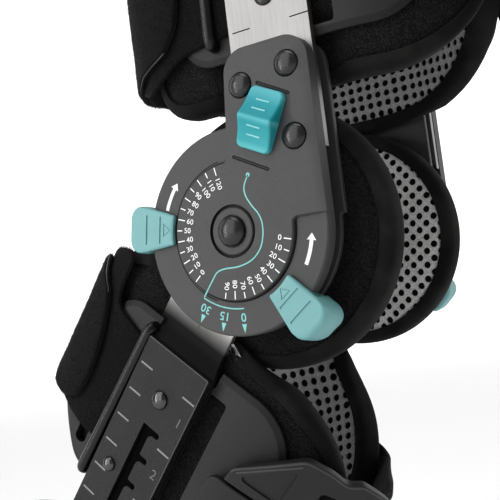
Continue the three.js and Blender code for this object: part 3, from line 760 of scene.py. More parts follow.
lock = {"reach": 43.2, "leanDeg": 26, "length": 23.4, "width": 15.0, "ends": 2.3, "ridge": 7.0, "dip": 1.2,
        "seat": 1.75, "round": 2.4, "soft": 0.9, "lines": (7.0, 3.6, -3.0, -6.4), "lineHalf": 3.0,
        "lineRadius": 0.34,
        "shades": [(0.0, (0.085, 0.42, 0.44)), (0.12, (0.024, 0.28, 0.31)), (0.42, (0.02, 0.265, 0.295)),
                   (0.5, (0.07, 0.37, 0.4)), (0.55, (0.005, 0.225, 0.265)), (0.75, (0.012, 0.25, 0.29)),
                   (1.0, (0.08, 0.37, 0.41))]}  # painted light and shade: highlights on the ridge and both ends, shade beside the ridge
stopTab = {"inner": 28.0, "outer": 49.8, "innerHalf": 5.9, "outerHalf": {"flexion": 11.0, "extension": 9.5},
           "face": 2.3, "seat": 0.15, "skirtAt": (-1, -0.3, 0.2, 1),
           "skirt": {"flexion": (-11.0, -11.0, -11.0, -11.0), "extension": (-8.5, -11.0, -11.0, -13.8)},
           "rim": 40.3, "corner": 7.2, "flare": {"flexion": 1.6, "extension": 1.4}, "farTurn": 6,
           "lines": ((34.0, 5.0), (40.8, 5.5)), "lineWidth": 0.85,
           "arrow": ((29.0, 0), (32.2, 2.4), (32.2, -2.4)),
           "angles": {"flexion": 170.6, "extension": -52.8}, "push": {"flexion": 0.0, "extension": 1.1}}

lockTree = lockTeal.node_tree
lean = math.radians(lock["leanDeg"])
lockEnds = [(lock["reach"] + way * lock["length"] / 2) / 1000 for way in (-1, 1)]
lockAlong = mapped(lockTree, alongPiece(lockTree, (math.sin(lean), 0, math.cos(lean))), *lockEnds)
# the ramp paints light and shade along the slider's length
ramp(lockTree, lockAlong, lock["shades"], lockTree.nodes["Principled BSDF"].inputs["Base Color"])


def lockHeight(x):
    f = np.clip(np.abs(x) / (lock["length"] / 2), 0, 1)
    slope = lock["ends"] + (lock["ridge"] - lock["ends"]) * (1 - f) ** 1.9
    dip = lock["ridge"] - 0.75 + 0.3 * (1 - (x / lock["dip"]) ** 2)
    return np.where(np.abs(x) < lock["dip"], np.minimum(slope, dip), slope)


def fallAway(radius, edge):  # how far a rounded corner drops near its edge
    return radius - math.sqrt(max(0, radius ** 2 - max(0, radius - edge) ** 2))


def lockParts():
    half, wide, soft = lock["length"] / 2, lock["width"] / 2, lock["soft"]
    turn = soft * (1 - np.cos(np.linspace(0.3, math.pi / 2, 5)))
    xs = np.r_[-half, -half + turn, np.linspace(-half + 1.3, half - 1.3, 45), half - turn[::-1], half]
    rows = []
    for x in xs:
        edge = half - abs(x)
        w = wide - fallAway(lock["round"], edge)
        top = float(lockHeight(np.array(x))) - fallAway(soft, edge)
        r = min(soft, top * 0.6)
        arc = [(w - r + r * math.cos(a), top - r + r * math.sin(a)) for a in np.linspace(0, math.pi / 2, 6)]
        hollow = [(y, top - 0.25 * (1 - (y / (w - r)) ** 2)) for y in np.linspace(w - r, -(w - r), 9)[1:-1]]
        section = [(w, 0)] + arc + hollow + [(-y, z) for y, z in arc[::-1]] + [(-w, 0)]
        rows.append([(x, y, z) for y, z in section])
    parts = [gridParts(closedEnds(np.array(rows), (1, 0, 0.4)))]
    for x in lock["lines"]:  # raised finger lines, in a lighter teal that paints their highlight
        z = float(lockHeight(np.array(x))) - 0.22
        across = np.linspace(-lock["lineHalf"], lock["lineHalf"], 7)
        parts.append(tubeParts([(x, y, z) for y in across], lock["lineRadius"], 8, 1))
    return parts


def tabParts(name):
    t = {**stopTab, **{k: stopTab[k][name] for k in ("outerHalf", "skirt", "flare")}}
    ends = [(0.8, 0.0), (0.24, 0.25), (0.0, 0.8)]  # both sides round off: shrink and step back
    stations = [(-1.0, *end) for end in ends] + [(s, 0.0, 0.8) for s in np.linspace(-0.96, 0.96, 25)]
    stations += [(1.0, *end) for end in ends[::-1]]
    rows = []
    for s, shrink, back in stations:
        over = max(0, abs(s) * (t["outerHalf"] - back) - (t["outerHalf"] - t["corner"]))
        fall = t["corner"] - math.sqrt(max(0.0, t["corner"] ** 2 - over ** 2))
        reach = max(t["outer"] - fall, t["rim"] + 2.6)
        deep = np.interp(s, t["skirtAt"], t["skirt"]) + 0.9 * fall
        begin = math.sqrt(max(1, t["inner"] ** 2 - (abs(s) * t["innerHalf"]) ** 2))
        profile = softLoop([(begin, t["seat"], 0.2), (t["rim"], t["seat"], 0.0), (t["rim"], deep, 0.6),
                            (reach + t["flare"], deep, 1.8), (reach, t["face"], 2.2),
                            (begin, t["face"], 0.5)], 15)
        profile = evenLoop(profile, 90)
        start = np.argmin(np.hypot(profile[:, 0] - begin, profile[:, 1] - t["seat"]))
        profile = np.roll(profile, -start, axis=0)
        if shrink:
            profile = inset(profile, shrink)
        along = (profile[:, 0] - t["inner"]) / (t["outer"] - t["inner"])
        half = t["innerHalf"] + (t["outerHalf"] - t["innerHalf"]) * along - back
        rows.append(np.c_[profile[:, 0], half * np.sign(s) * abs(s), profile[:, 1]])
    return [gridParts(closedEnds(np.array(rows)))]


def tabCutters():
    t = stopTab
    cuts = [(slotLoop((x, -half), (x, half), t["lineWidth"]), 0.45) for x, half in t["lines"]]
    tip, a, b = t["arrow"]
    cuts += [(slotLoop(p, q, 0.4), 0.28) for p, q in ((tip, a), (a, b), (b, tip))]
    return [blockParts(loop, t["face"] - deep, t["face"] + 2) for loop, deep in cuts]


for side in sides:
    place = onHinge(side)
    slider = [moved(moved(p, lock["reach"], lock["seat"]), turnDeg=90 - lock["leanDeg"]) for p in lockParts()]
    slider = makePiece(side + "LockSlider", slider, [lockTeal, lockLinePaintedHighlight], place, sharp=50)
    settle(slider, side + "_lock", "lock", side + "_lock_slider")
    for name, angle in stopTab["angles"].items():
        push = stopTab["push"][name] * (side == "lateral")
        if (side, name) == ("medial", "extension"):  # the far tab sits a little higher
            angle += stopTab["farTurn"]
        shape, cutters = ([moved(moved(p, push), turnDeg=angle) for p in parts]
                          for parts in (tabParts(name), tabCutters()))
        tab = makePiece(f"{side}{name.title()}Stop", shape, [tabTeal], place, sharp=50)
        carve(tab, cutters, place, 50)
        settle(tab, f"{side}_{name}_stop", "tab", f"{side}_{name}_stop")
print("lock and stops done")


# Struts and sleeve

strut = {"left": 4.4, "right": 40.0, "footRadius": 47.5, "top": 275.0, "front": -5.3, "thick": 3.0,
         "corner": 8.0, "rivet": (22.2, 88.0), "rivetRadius": 4.3, "rivetRise": 1.8,
         "markUp": 76.0, "markGap": 25.4, "marks": 8, "markEnds": ((6.6, 14.2, 0.8), (32.2, 40.6, 0.3))}
lowerStrut = {"half": 17.2, "end": 215.0, "thick": 2.4, "hinge": -11.4, "outside": -6.0, "bendFrom": 51.0,
              "bendTo": 59.5, "jog": 3.6, "mark": ((1.2, -43.2), (1.2, -45.8)), "fade": (0.0385, 0.0495)}
sleeve = {"half": 16.9, "top": 57.8, "bottom": 284.0, "front": -3.2, "thick": 2.5, "slotLeft": -1.7,
          "slotRight": 3.0, "tooth": 7.8, "slotTop": 90.5, "pitch": 12.7, "notches": 5, "notchHigh": 2.6,
          "rivets": ((0.5, 78.0, 3.9), (-8.2, 116.5, 3.1)), "rivetRise": 2.1,
          "ticks": 15, "tickFrom": 69.5, "tickWidth": 0.75, "backTick": (-15.1, -8.5),
          "frontTick": (15.9, 9.4), "frontDrop": 0.8, "numberSize": 6.0, "numberAt": (13.0, 11.4)}

# the lower strut carries a painted reflection, bright metal near the ring turning to dull black
paintedReflectionFinish, fadeTree, fadeShader = brushed("strutPaintedReflection", (0.3, 0.295, 0.29), 0.3, (1, 1, 0.05))
bend = math.radians(brace["flexion"])
fadeAlong = alongPiece(fadeTree, (-math.sin(bend), 0, -math.cos(bend)))


def fadeBetween(near, far):  # painted reflection: bright beside the ring, then black
    return mapped(fadeTree, fadeAlong, *lowerStrut["fade"], near, far)


fadeMix = add(fadeTree, "ShaderNodeMixRGB", blend_type="MIX", Color2=(0.0035, 0.0035, 0.0036, 1))
fadeTree.links.new(fadeBetween(0, 1), fadeMix.inputs["Fac"])
fadeTree.links.new(fadeShader.inputs["Base Color"].links[0].from_socket, fadeMix.inputs["Color1"])
fadeTree.links.new(fadeMix.outputs["Color"], fadeShader.inputs["Base Color"])
fadeTree.links.new(fadeBetween(1, 0), fadeShader.inputs["Metallic"])
fadeTree.links.new(fadeBetween(0.3, 0.75), fadeShader.inputs["Roughness"])
fill(fadeShader, {"Specular IOR Level": 0.15})


def strutSheet():  # the lower bar, still flat
    b = lowerStrut
    half = b["half"]
    crown = [(half * math.cos(a), half * math.sin(a), 0) for a in np.linspace(0.1, math.pi - 0.1, 20)]
    loop = softLoop([(-half, -b["end"], 4), (half, -b["end"], 4), (half, 0, 0), *crown, (-half, 0, 0)])
    return slabParts(loop, 0, b["thick"], 0.35)


def stepOut(piece, side):  # bends it outward under the sleeve
    b = lowerStrut
    bm = bmesh.new()
    bm.from_mesh(piece.data)
    sliceAlong(bm, 1, -np.arange(48, 63, 0.75) / 1000, 0)
    p = np.array([v.co for v in bm.verts]) * 1000
    f = eased(np.clip((-p[:, 1] - b["bendFrom"]) / (b["bendTo"] - b["bendFrom"]), 0, 1))
    p[:, 0] -= b["jog"] * (1 - f)
    p[:, 2] += b["hinge"] - b["thick"] + (b["outside"] - b["hinge"]) * f
    reshape(piece, bm, onHinge(side, "calf")(p))


for side in sides:
    b, place = strut, onHinge(side)
    front = b["front"]
    foot = [(x, math.sqrt(b["footRadius"] ** 2 - x * x), 0) for x in np.linspace(b["left"], b["right"], 12)]
    loop = softLoop([*foot, (b["right"], b["top"], b["corner"]), (b["left"], b["top"], b["corner"])])
    bar = slabParts(loop, front - b["thick"], front, 0.35)
    bar = makePiece(side + "UpperStrut", [bar], [strutBright, paintedGrooveShade], place)
    lines = []
    for k in range(b["marks"]):
        up = b["markUp"] + b["markGap"] * k
        lines += [slotLoop((x0, up + dz), (x1, up + dz), 0.5) for x0, x1, dz in b["markEnds"]]
    # the marks' cut faces take the painted groove shade
    carve(bar, [blockParts(line, front - 0.3, front + 1, 1) for line in lines], place)
    settle(bar, "thigh", "strut", side + "_upper_strut")
    head = turnedParts(domeProfile(b["rivetRadius"], b["rivetRise"], front), 32, b["rivet"])
    settle(makePiece(side + "StrutRivet", [head], [gunmetal], place), "thigh", "rivet", side + "_strut_rivet")

    lower = makePiece(side + "LowerStrut", [strutSheet()], [paintedReflectionFinish], flatPlace)
    carve(lower, [blockParts(slotLoop(*lowerStrut["mark"], 0.4), lowerStrut["thick"] - 0.2, 5)], flatPlace)
    stepOut(lower, side)
    settle(lower, "shank_struts", "strut", side + "_lower_strut")

    b, place = sleeve, onHinge(side, "calf")
    half, top, front = b["half"], -b["top"], b["front"]
    under = front - b["thick"]
    loop = softLoop([(-half, -b["bottom"], 3), (half, -b["bottom"], 3), (half, top, 0.8), (-half, top, 0.8)])
    case = makePiece(side + "CalfSleeve", [slabParts(loop, under, front, 0.5)], [sleeveBlack], place)
    bottom = b["slotTop"] + b["pitch"] * b["notches"]
    teeth = [(b["slotLeft"], -bottom, 0.3), (b["slotLeft"], -b["slotTop"], 0.3)]
    for k in range(b["notches"]):
        up = b["slotTop"] + b["pitch"] * k
        notch = -up - b["notchHigh"]
        teeth += [(b["tooth"], -up, 1.2), (b["tooth"], notch, 1.2), (b["slotRight"], notch, 2.2),
                  (b["slotRight"], -up - b["pitch"], 0.5 if k + 1 < b["notches"] else 0.3)]
    carve(case, [blockParts(softLoop(teeth), under - 1, front + 1)], place)
    settle(case, "calf", "sleeve", side + "_calf_sleeve")
    # the slot's black floor as painted shadow, then lines, numbers and painted edge highlights
    low, high, middle = front - 0.2, front + 0.14, (b["slotLeft"] + b["tooth"]) / 2
    ends = (middle, -b["slotTop"] + 0.5), (middle, -bottom - 0.5)
    rule = [lineParts(*ends, 10.4, under + 0.2, front - 1.5, 3)]
    for k in range(b["ticks"]):
        s = -b["tickFrom"] - b["pitch"] * k
        ends = [(x, s) for x in b["backTick"]]
        rule.append(lineParts(*ends, b["tickWidth"], low, high))
        if k % 2 == 0:
            ends = [(x, s - b["frontDrop"]) for x in b["frontTick"]]
            rule.append(lineParts(*ends, b["tickWidth"], low, high))
            at = (b["numberAt"][0], s - b["numberAt"][1])
            number = str(1 + k // 2)
            rule.append(wordParts(number, b["numberSize"], at, 0, high, 1, side == "medial", 0.0, 1.0))
    # painted highlights along the sleeve's top and front edges
    edge = half - 0.35
    rule.append(lineParts((-edge, top - 0.4), (edge, top - 0.4), 0.4, low, front + 0.03, 2))
    rule.append(lineParts((edge, top - 0.6), (edge, -b["bottom"] + 3), 0.35, low, front + 0.03, 2))
    finishes = [tickGrey, numberGrey, edgePaintedHighlight, slotPaintedShadow]
    settle(makePiece(side + "SleeveRule", rule, finishes, place, weighted=False), "calf", "sleeve")
    dots = [turnedParts(domeProfile(r, b["rivetRise"], front), 36, (t, -s)) for t, s, r in b["rivets"]]
    settle(makePiece(side + "SleeveRivets", dots, [darkChrome], place), "calf", "rivet")
print("struts and sleeves done")


# Padded pieces

padding = {"binding": 5.6, "seam": 2.0, "crown": 9.0, "soft": 0.62, "liner": 0.9, "dot": 1.58, "pitch": 4.4,
           "wave": 0.35, "rows": (0.35, 1.2, 2.6, 4.6, 7.5)}  # rows of the face next to the binding


def insetFrom(outline):  # depth inside a closed outline, negative outside
    a, b = outline, np.roll(outline, -1, axis=0)
    run = b - a
    size = np.maximum(np.sum(run ** 2, axis=1), 1e-12)
    rise = np.where(np.abs(run[:, 1]) < 1e-9, 1e-9, run[:, 1])

    def depth(x, y):
        p = np.c_[np.ravel(x), np.ravel(y)]
        out = np.empty(len(p))
        for start in range(0, len(p), 4000):
            q = p[start:start + 4000, None]
            t = np.clip(np.sum((q - a) * run, axis=2) / size, 0, 1)
            away = np.min(np.linalg.norm(q - a - t[..., None] * run, axis=2), axis=1)
            spans = (a[:, 1] > q[..., 1]) != (b[:, 1] > q[..., 1])
            crossing = a[:, 0] + (q[..., 1] - a[:, 1]) * run[:, 0] / rise
            inside = np.sum(spans & (q[..., 0] < crossing), axis=1) % 2 == 1
            out[start:start + 4000] = np.where(inside, away, -away)
        return out
    return depth


def swell(depth):  # how far a sewn face stands back from its full height
    return padding["seam"] * np.exp(-np.maximum(depth - padding["binding"], 0) / padding["crown"] * 2.2)


def ripple(a, b, seed, size=26.0):
    return np.array([noise.noise(Vector((x / size, y / size, seed))) for x, y in zip(a, b)])


def padParts(outline, depthOf, levels, seed, rings):  # levels gives the outer and inner face at a place
    normal = inwardNormals(outline)
    centre = outline.mean(axis=0)
    wide = padding["binding"]

    def faceRings(which, sign):
        loops = [outline + normal * (wide + x) for x in padding["rows"]]
        loops += [centre + (loops[-1] - centre) * s for s in np.linspace(1, 0, rings)[1:]]
        out = []
        for loop in loops:
            a, b = loop.T
            faces = levels(a, b)
            back = swell(depthOf(a, b)) + np.maximum(0, ripple(a, b, seed + sign * 3)) * padding["wave"]
            back = np.minimum(back, 0.3 * (faces[0] - faces[1]))
            out.append(np.c_[a, b, faces[which] - sign * back])
        return out

    edge = []
    for phi in np.linspace(math.pi / 2, -math.pi / 2, 15):
        c, s = math.cos(phi), math.sin(phi)
        loop = outline + normal * (wide * (1 - abs(c) ** padding["soft"]))
        outer, inner = levels(*loop.T)
        half = (outer - inner) / 2
        rise = (half - np.minimum(0.25, half * 0.1)) * math.copysign(abs(s) ** padding["soft"], s)
        edge.append(np.c_[loop, (outer + inner) / 2 + rise])
    front, back = faceRings(0, 1), faceRings(1, -1)
    make = lambda rows, finish: gridParts(np.array(rows), finish)
    return [make(front[::-1] + edge[:1], 0), make(edge, 1), make(edge[-1:] + back, 2)]


def linerParts(outline, depthOf, levels, turnDeg, around, pitch):  # perforated lining, a cell for each hole
    hole = padding["dot"] * pitch / padding["pitch"]
    c, s = wayAt(turnDeg)
    low, high = outline.min(axis=0), outline.max(axis=0)
    count = int(0.75 * max(high - low) / pitch) + 1
    k = np.arange(-count, count + 1) * pitch
    gx, gy = (g.ravel() for g in np.meshgrid(k, k))
    cx, cy = (low + high) / 2
    gx, gy = cx + gx * c - gy * s, cy + gx * s + gy * c
    inside = depthOf(gx, gy) > padding["binding"] - 2.4
    gx, gy = gx[inside], gy[inside]
    turnAt = np.linspace(0, 2 * np.pi, around, endpoint=False) + math.pi / 4
    disc = np.c_[np.cos(turnAt), np.sin(turnAt)]
    square = disc / np.max(np.abs(disc), axis=1)[:, None] * pitch / 2
    rings = [(square, 0.0), (disc * hole, 0.0), (disc * hole * 0.95, padding["liner"] + 0.2)]
    cells = []
    for shape, sunk in rings:
        f = ((shape @ np.array([[c, s], [-s, c]]))[None] + np.c_[gx, gy][:, None]).reshape(-1, 2)
        depth = depthOf(f[:, 0], f[:, 1])
        tucked = np.maximum(0, padding["binding"] - 0.4 - depth) * 0.9  # runs under the binding
        level = levels(*f.T)[1] + swell(depth) - padding["liner"] + sunk + tucked
        cells.append(np.c_[f, level].reshape(len(gx), around, 3))
    cells = np.concatenate(cells, axis=1)
    ring = np.array([(i, (i + 1) % around, (i + 1) % around + around, i + around) for i in range(around)])
    pattern = np.concatenate([ring, ring + around])
    faces = (np.arange(len(gx))[:, None, None] * 3 * around + pattern[None]).reshape(-1, 4)
    return cells.reshape(-1, 3), faces.tolist(), 3


def padPiece(name, outline, levels, place, body, node, lining, seed, turnDeg, fine=12,
             pitch=padding["pitch"]):
    depthOf = insetFrom(outline)
    parts = padParts(outline, depthOf, levels, seed, fine)
    parts.append(linerParts(outline, depthOf, levels, turnDeg, fine, pitch))
    cushion = makePiece(name, parts, [knitBlack, bindingGrey, foamBlack, lining], place, sharp=70,
                        weighted=False)
    settle(cushion, body, "pad_cloth", node)


# round cushions beside the knee
condyle = {"x": {"lateral": 4.5, "medial": 1.8}, "z": -2.4, "radius": {"lateral": 52.6, "medial": 49.2},
           "outer": -16.95, "inner": -30.9}
for side in sides:
    c = condyle
    outline = evenLoop(circle(c["radius"][side], (c["x"][side], c["z"]), 2), 150)
    levels = lambda a, b: (np.full(len(a), c["outer"]), np.full(len(a), c["inner"]))
    # the condyle pads' liner is painted lighter, as if lit
    padPiece(side + "CondylePad", outline, levels, onHinge(side), "thigh", side + "_condyle_pad",
             linerPaintedLight, 4.0, 38)

cuffs = {
    "thigh_lower": {"limb": "thigh", "plate": (67.6, 141), "pad": (50.5, 158), "strap": 105, "near": True},
    "thigh_upper": {"limb": "thigh", "plate": (190, 262), "pad": (171, 278), "strap": 226, "near": False},
    "calf_upper": {"limb": "calf", "plate": (-134.5, -51), "pad": (-136, -46), "strap": -92, "near": True},
    "calf_lower": {"limb": "calf", "plate": (-278, -204), "pad": (-292, -188), "strap": -241, "near": False},
}
# rooms are edges and the level kept clear: behind the hinge on the thigh, under the bent strut on the calf
cuffPad = {"behind": 64, "frontGap": 29, "outer": -2.85, "inner": -16.8, "corner": 32,
           "lip": -7.9, "ringRoom": 41, "cushionRoom": 56, "calfRise": 4.5,
           "calfFront": {"lateral": ((206, -86, 60), (201, -67, 28), (184, -53.5, 60), (162, -45, 70)),
                         "medial": ((189, -92, 32), (170, -70, 70), (138, -53, 60))},
           "calfBack": ((80, -30.2, 6), (70, -34.4, 8), (60, -38, 6), (57, -42, 3), (57, -60, 8),
                        (59, -100, 14), (82, -130, 16)),
           "calfFoot": 98, "footCorner": 12, "thighDrop": 4, "thighLong": 17,
           "thighCorner": {"lateral": 60, "medial": 84}, "hingeRoom": (-0.5, 42.0, 70.5, -9.6),
           "strutRoom": (18.6, -62.0, -5.7)}


def pieceName(side, cuff, kind):
    return side + cuff.title().replace("_", "") + kind


def forwardAt(limb, d):
    return np.interp(np.abs(d), legs[limb]["run"], legs[limb]["p"][:, 0])


def fromStrut(limb, x):
    return runAt(limb, limbPlan[limb]["strut"] + x)


def padOutline(name, cuff, side):
    p, limb = cuffPad, cuff["limb"]
    start = fromStrut(limb, -p["behind"])
    end = legs[limb]["length"] - p["frontGap"]
    low, high = cuff["pad"]
    if name == "calf_upper":  # rises behind the ring at the back, level towards the front
        fore = p["calfFront"][side]
        high += p["calfRise"]
        knee = runAt(limb, 0)
        under = [(knee + x, y, 0) for x, y in arcPoints(0, 0, p["ringRoom"], -98, -136, 7)]
        foot = (p["calfFoot"], low, p["footCorner"])
        corners = [(fore[0][0], low, p["corner"]), *fore, (knee + 9, high, 8), *under, *p["calfBack"], foot]
    elif name == "thigh_lower":
        low -= p["thighDrop"] * (side == "medial")
        end += p["thighLong"] * (side == "lateral")
        corners = [(start, low, 19), (end, low, p["thighCorner"][side]), (end, high, 20), (start, high, 30)]
    else:
        corners = [(x, y, p["corner"]) for x, y in ((start, low), (end, low), (end, high), (start, high))]
    loop = softLoop(corners, 4) * [1 if side == "lateral" else -1, 1]
    return evenLoop(ccw(loop), 200 if cuff["near"] else 120)


def padLevels(name, limb):
    p = cuffPad

    def levels(a, b):
        x = forwardAt(limb, a)
        outer, inner = np.full(len(a), p["outer"]), np.full(len(a), p["inner"])
        if name == "thigh_lower":
            x0, x1, top, level = p["hingeRoom"]
            outside = np.maximum(np.maximum(x0 - x, x - x1), np.maximum(b - top, 0))
            outer = np.minimum(outer, level + np.maximum(outside, 0) * 0.75)
        if name == "calf_upper":
            half, foot, level = p["strutRoom"]
            outside = np.maximum(np.maximum(np.abs(x) - half, 0), np.maximum(foot - b, 0))
            outer = np.minimum(outer, level + outside * 0.5)
            clear = eased(np.clip((np.hypot(x, b) - p["cushionRoom"] + 4) / 16, 0, 1))
            inner = p["lip"] + (p["inner"] - p["lip"]) * clear
        return outer, inner
    return levels


for name, cuff in cuffs.items():
    limb = cuff["limb"]
    turnDeg, wider = (0, 1) if limb == "thigh" else (45, 1.18)
    for side in sides:
        padPiece(pieceName(side, name, "Pad"), padOutline(name, cuff, side), padLevels(name, limb),
                 roundLeg(limb),
                 limb, f"{side}_{name}_pad", linerGrey, 8.0 if side == "lateral" else 6.0, turnDeg,
                 12 if cuff["near"] else 8, padding["pitch"] * wider)
print("pads done")


# Cuff plates and strap bars

cuffPlate = {"behind": 48, "ahead": 56, "thick": 2.5, "backCorner": 26, "frontCorner": 24, "rim": 2.6,
             "rimDrop": 0.8, "slot": (16.6, 26.0), "slotMargin": 13, "thighSlotFoot": 71.5,
             "thighBack": 86.4, "thighAhead": 61, "thighCorners": (15, 24),
             "calfAhead": {"lateral": 58, "medial": 34}, "calfStep": -54.2,
             "calfBack": ((76.3, -51, 15), (60.5, -107.7, 6), (86, -130.5, 18)),
             "calfFoot": 104, "footCorner": 20,
             "strutOpening": (18, -61.5), "strapOpening": (82.2, -122.4, 88.2, -70)}
bars = {"thigh": ((104, 140), (103.2, 74.3)), "calf": ((96.8, -55.5), (95.0, -130)), "radius": 2.5,
        "out": 3.6}


def rimmedParts(loop, back, front, wide, drop):  # a plate whose edge is a broad chamfer
    rows = [(inset(loop, 0.5), back), (loop, back + 0.5), (loop, front - drop - 0.3),
            (inset(loop, 0.25), front - drop), (inset(loop, wide), front - 0.12),
            (inset(loop, wide + 0.5), front)]
    return bandedParts(rows, (1, 1, 0))


def plateOutline(name, cuff, side):
    p, limb = cuffPlate, cuff["limb"]
    at = lambda x: fromStrut(limb, x)
    low, high = cuff["plate"]
    if name == "thigh_lower":
        back, fore, (r0, r1) = p["thighBack"], at(p["thighAhead"]), p["thighCorners"]
        return [(back, low, r0), (fore, low, r1), (fore, high, r1), (back, high, r0)]
    if name == "calf_upper":
        fore, step, r = at(p["calfAhead"][side]), p["calfStep"], p["frontCorner"]
        return [(fore, low, r), (fore, step, r), (at(14), step, 1), (at(12), high, 1), *p["calfBack"],
                (p["calfFoot"], low, p["footCorner"])]
    back, fore = at(-p["behind"]), at(p["ahead"])
    return [(back, low, p["backCorner"]), (fore, low, p["frontCorner"]), (fore, high, p["frontCorner"]),
            (back, high, p["backCorner"])]


def boxLoop(x0, y0, x1, y1, near, far):  # rounded differently at its two ends
    return softLoop([(x0, y0, near), (x1, y0, far), (x1, y1, far), (x0, y1, near)])


def plateOpenings(name, cuff):
    p, limb = cuffPlate, cuff["limb"]
    at = lambda x: fromStrut(limb, x)
    low, high = cuff["plate"]
    foot = p["thighSlotFoot"] if name == "thigh_lower" else low + p["slotMargin"]
    found = [boxLoop(at(p["slot"][0]), foot, at(p["slot"][1]), high - p["slotMargin"], 1.5, 1.5)]
    if name == "calf_upper":
        half, foot = p["strutOpening"]
        found.append(boxLoop(at(-half), foot, at(half), 0, 1, 1))
        found.append(boxLoop(*p["strapOpening"], 2.6, 2.6))  # where the rear strap goes through
    return found


for name, cuff in cuffs.items():
    limb, p = cuff["limb"], cuffPlate
    for side in sides:
        sign = np.array([1 if side == "lateral" else -1, 1])
        cutters = [blockParts(ccw(o * sign), -9, 6) for o in plateOpenings(name, cuff)]
        shape = ccw(softLoop(plateOutline(name, cuff, side), 5) * sign)
        shape = rimmedParts(shape, -p["thick"], 0, p["rim"], p["rimDrop"])
        shell = wrapPiece(pieceName(side, name, "Plate"), shape, [plateGrey, plateDark], limb,
                          cutters=cutters)
        settle(shell, limb, "plate", f"{side}_{name}_plate")
        if not cuff["near"]:
            continue
        top, foot = (np.array([d * sign[0], h]) for d, h in bars[limb])
        along, out = (foot - top) / np.linalg.norm(foot - top), bars["out"]
        ends = [(0.6, 0.2), (0.9, out - 1.6), (2.0, out - 0.4), (4.2, out), (9, out), (16, out)]
        path = [(*(top + along * q), o) for q, o in ends] + [(*((top + foot) / 2), out)]
        path += [(*(foot - along * q), o) for q, o in ends[::-1]]
        rod = tubeParts(smoothPath(path, 70), bars["radius"], 20)
        rod = makePiece(pieceName(side, name, "Bar"), [rod], [barBlack], roundLeg(limb), sharp=60)
        settle(rod, limb, "bar", f"{side}_{name}_bar")
print("plates and bars done")


# Straps

# layers of a rear strap from the middle of the back: edges as distance and height, lift of the inner face
rearStraps = {
    "thigh_lower": {
        "Under": {"low": ((0, 72), (12, 71), (24, 69.8), (38, 69.5), (50, 68), (57, 66.6), (62, 64.8),
                          (66, 63.6), (73, 66), (80, 70), (90, 75), (112, 78)),
                  "high": ((0, 151), (38, 146), (60, 141), (80, 135), (95, 133), (112, 133)),
                  "lift": ((0, -9.2), (35, -9.0), (48, -5.9), (60, -1.7), (68, 0.2), (112, 0.2)),
                  "thick": 1.7},
        "Flap": {"low": ((0, 72.6), (12, 71.6), (24, 70.4), (38, 70), (50, 68.6), (58, 67.8), (62, 68.4),
                         (66, 71), (73, 74), (79.7, 77), (82.5, 79.5), (87, 86), (89, 93), (90, 100),
                         (91, 118), (92, 134)),
                 "high": ((0, 152), (38, 148), (60, 143), (80, 139), (92, 137)),
                 "lift": ((0, -7.2), (35, -7.0), (48, -3.9), (60, 0.3), (68, 2.2), (92, 2.2)), "thick": 2.8},
    },
    "calf_upper": {
        "Under": {"low": ((0, -105), (35, -104.5), (49, -105.5), (59, -109), (70, -112), (80.7, -114),
                          (86, -114.6), (97, -114.6)),
                  "high": ((0, -79), (14, -77), (26, -68), (35, -60), (43, -53.5), (48, -47.5), (54, -42.5),
                           (58.6, -39.6), (63, -37.4), (68, -35.6), (71.5, -36.4), (72.8, -40), (73, -48),
                           (74.5, -55), (78.4, -58.9), (84.8, -60.7), (97, -64)),
                  "lift": ((0, -9.2), (30, -9.0), (42, -6.0), (53, -2.0), (60, 0.2), (97, 0.2)),
                  "thick": 1.7},
        "Flap": {"low": ((0, -106), (35, -105.5), (49, -106), (59, -108.6), (67.5, -109.3), (73, -107.2),
                         (76.8, -104), (78.4, -100)),
                 "high": ((0, -77), (14, -75), (26, -65), (35, -56.5), (50, -49), (56, -44.8), (58.8, -44),
                          (60.4, -46), (62.5, -49.7), (66, -52.8), (69.7, -55.6), (74.3, -64.7),
                          (77.6, -77.2), (79, -88), (78.6, -97)),
                 "lift": ((0, -7.2), (30, -7.0), (42, -4.0), (53, 0.0), (60, 2.2), (78, 2.2)), "thick": 2.8},
    },
}
# where the flap's edge shows a pale cord
strapTrim = {"thigh_lower": ("low", 60, 81), "calf_upper": ("high", 57, 70)}
napping = {"count": 9000, "length": (0.5, 1.3), "width": 0.09, "lean": 0.8, "seed": 31}


def mirroredEdge(points, count):
    p = np.array(points, float)
    both = np.vstack([p[:0:-1] * [-1, 1], p])
    return smoothPath(both, count)


def strapLayer(name, layer, limb):
    low, high = mirroredEdge(layer["low"], 160), mirroredEdge(layer["high"], 160)
    loop = evenLoop(ccw(np.vstack([low, high[::-1]])), 420)
    lift = np.array(layer["lift"])
    rise = lambda d, h: (np.interp(np.abs(d), lift[:, 0], lift[:, 1])
                         + 0.45 * ripple(d, h, 2.0, 30.0) + 0.2 * ripple(d, h, 5.0, 11.0))
    thick = layer["thick"]
    rows = slabRows(loop, 0, thick, thick * 0.47, 3)
    parts, finishes = bandedParts(rows, (0, 1, 0)), [pileBlack, edgeGrey]
    band = wrapPiece(name, parts, finishes, limb, 3.0, 80, False, lift=rise, across=5.0)
    return band, loop, rise


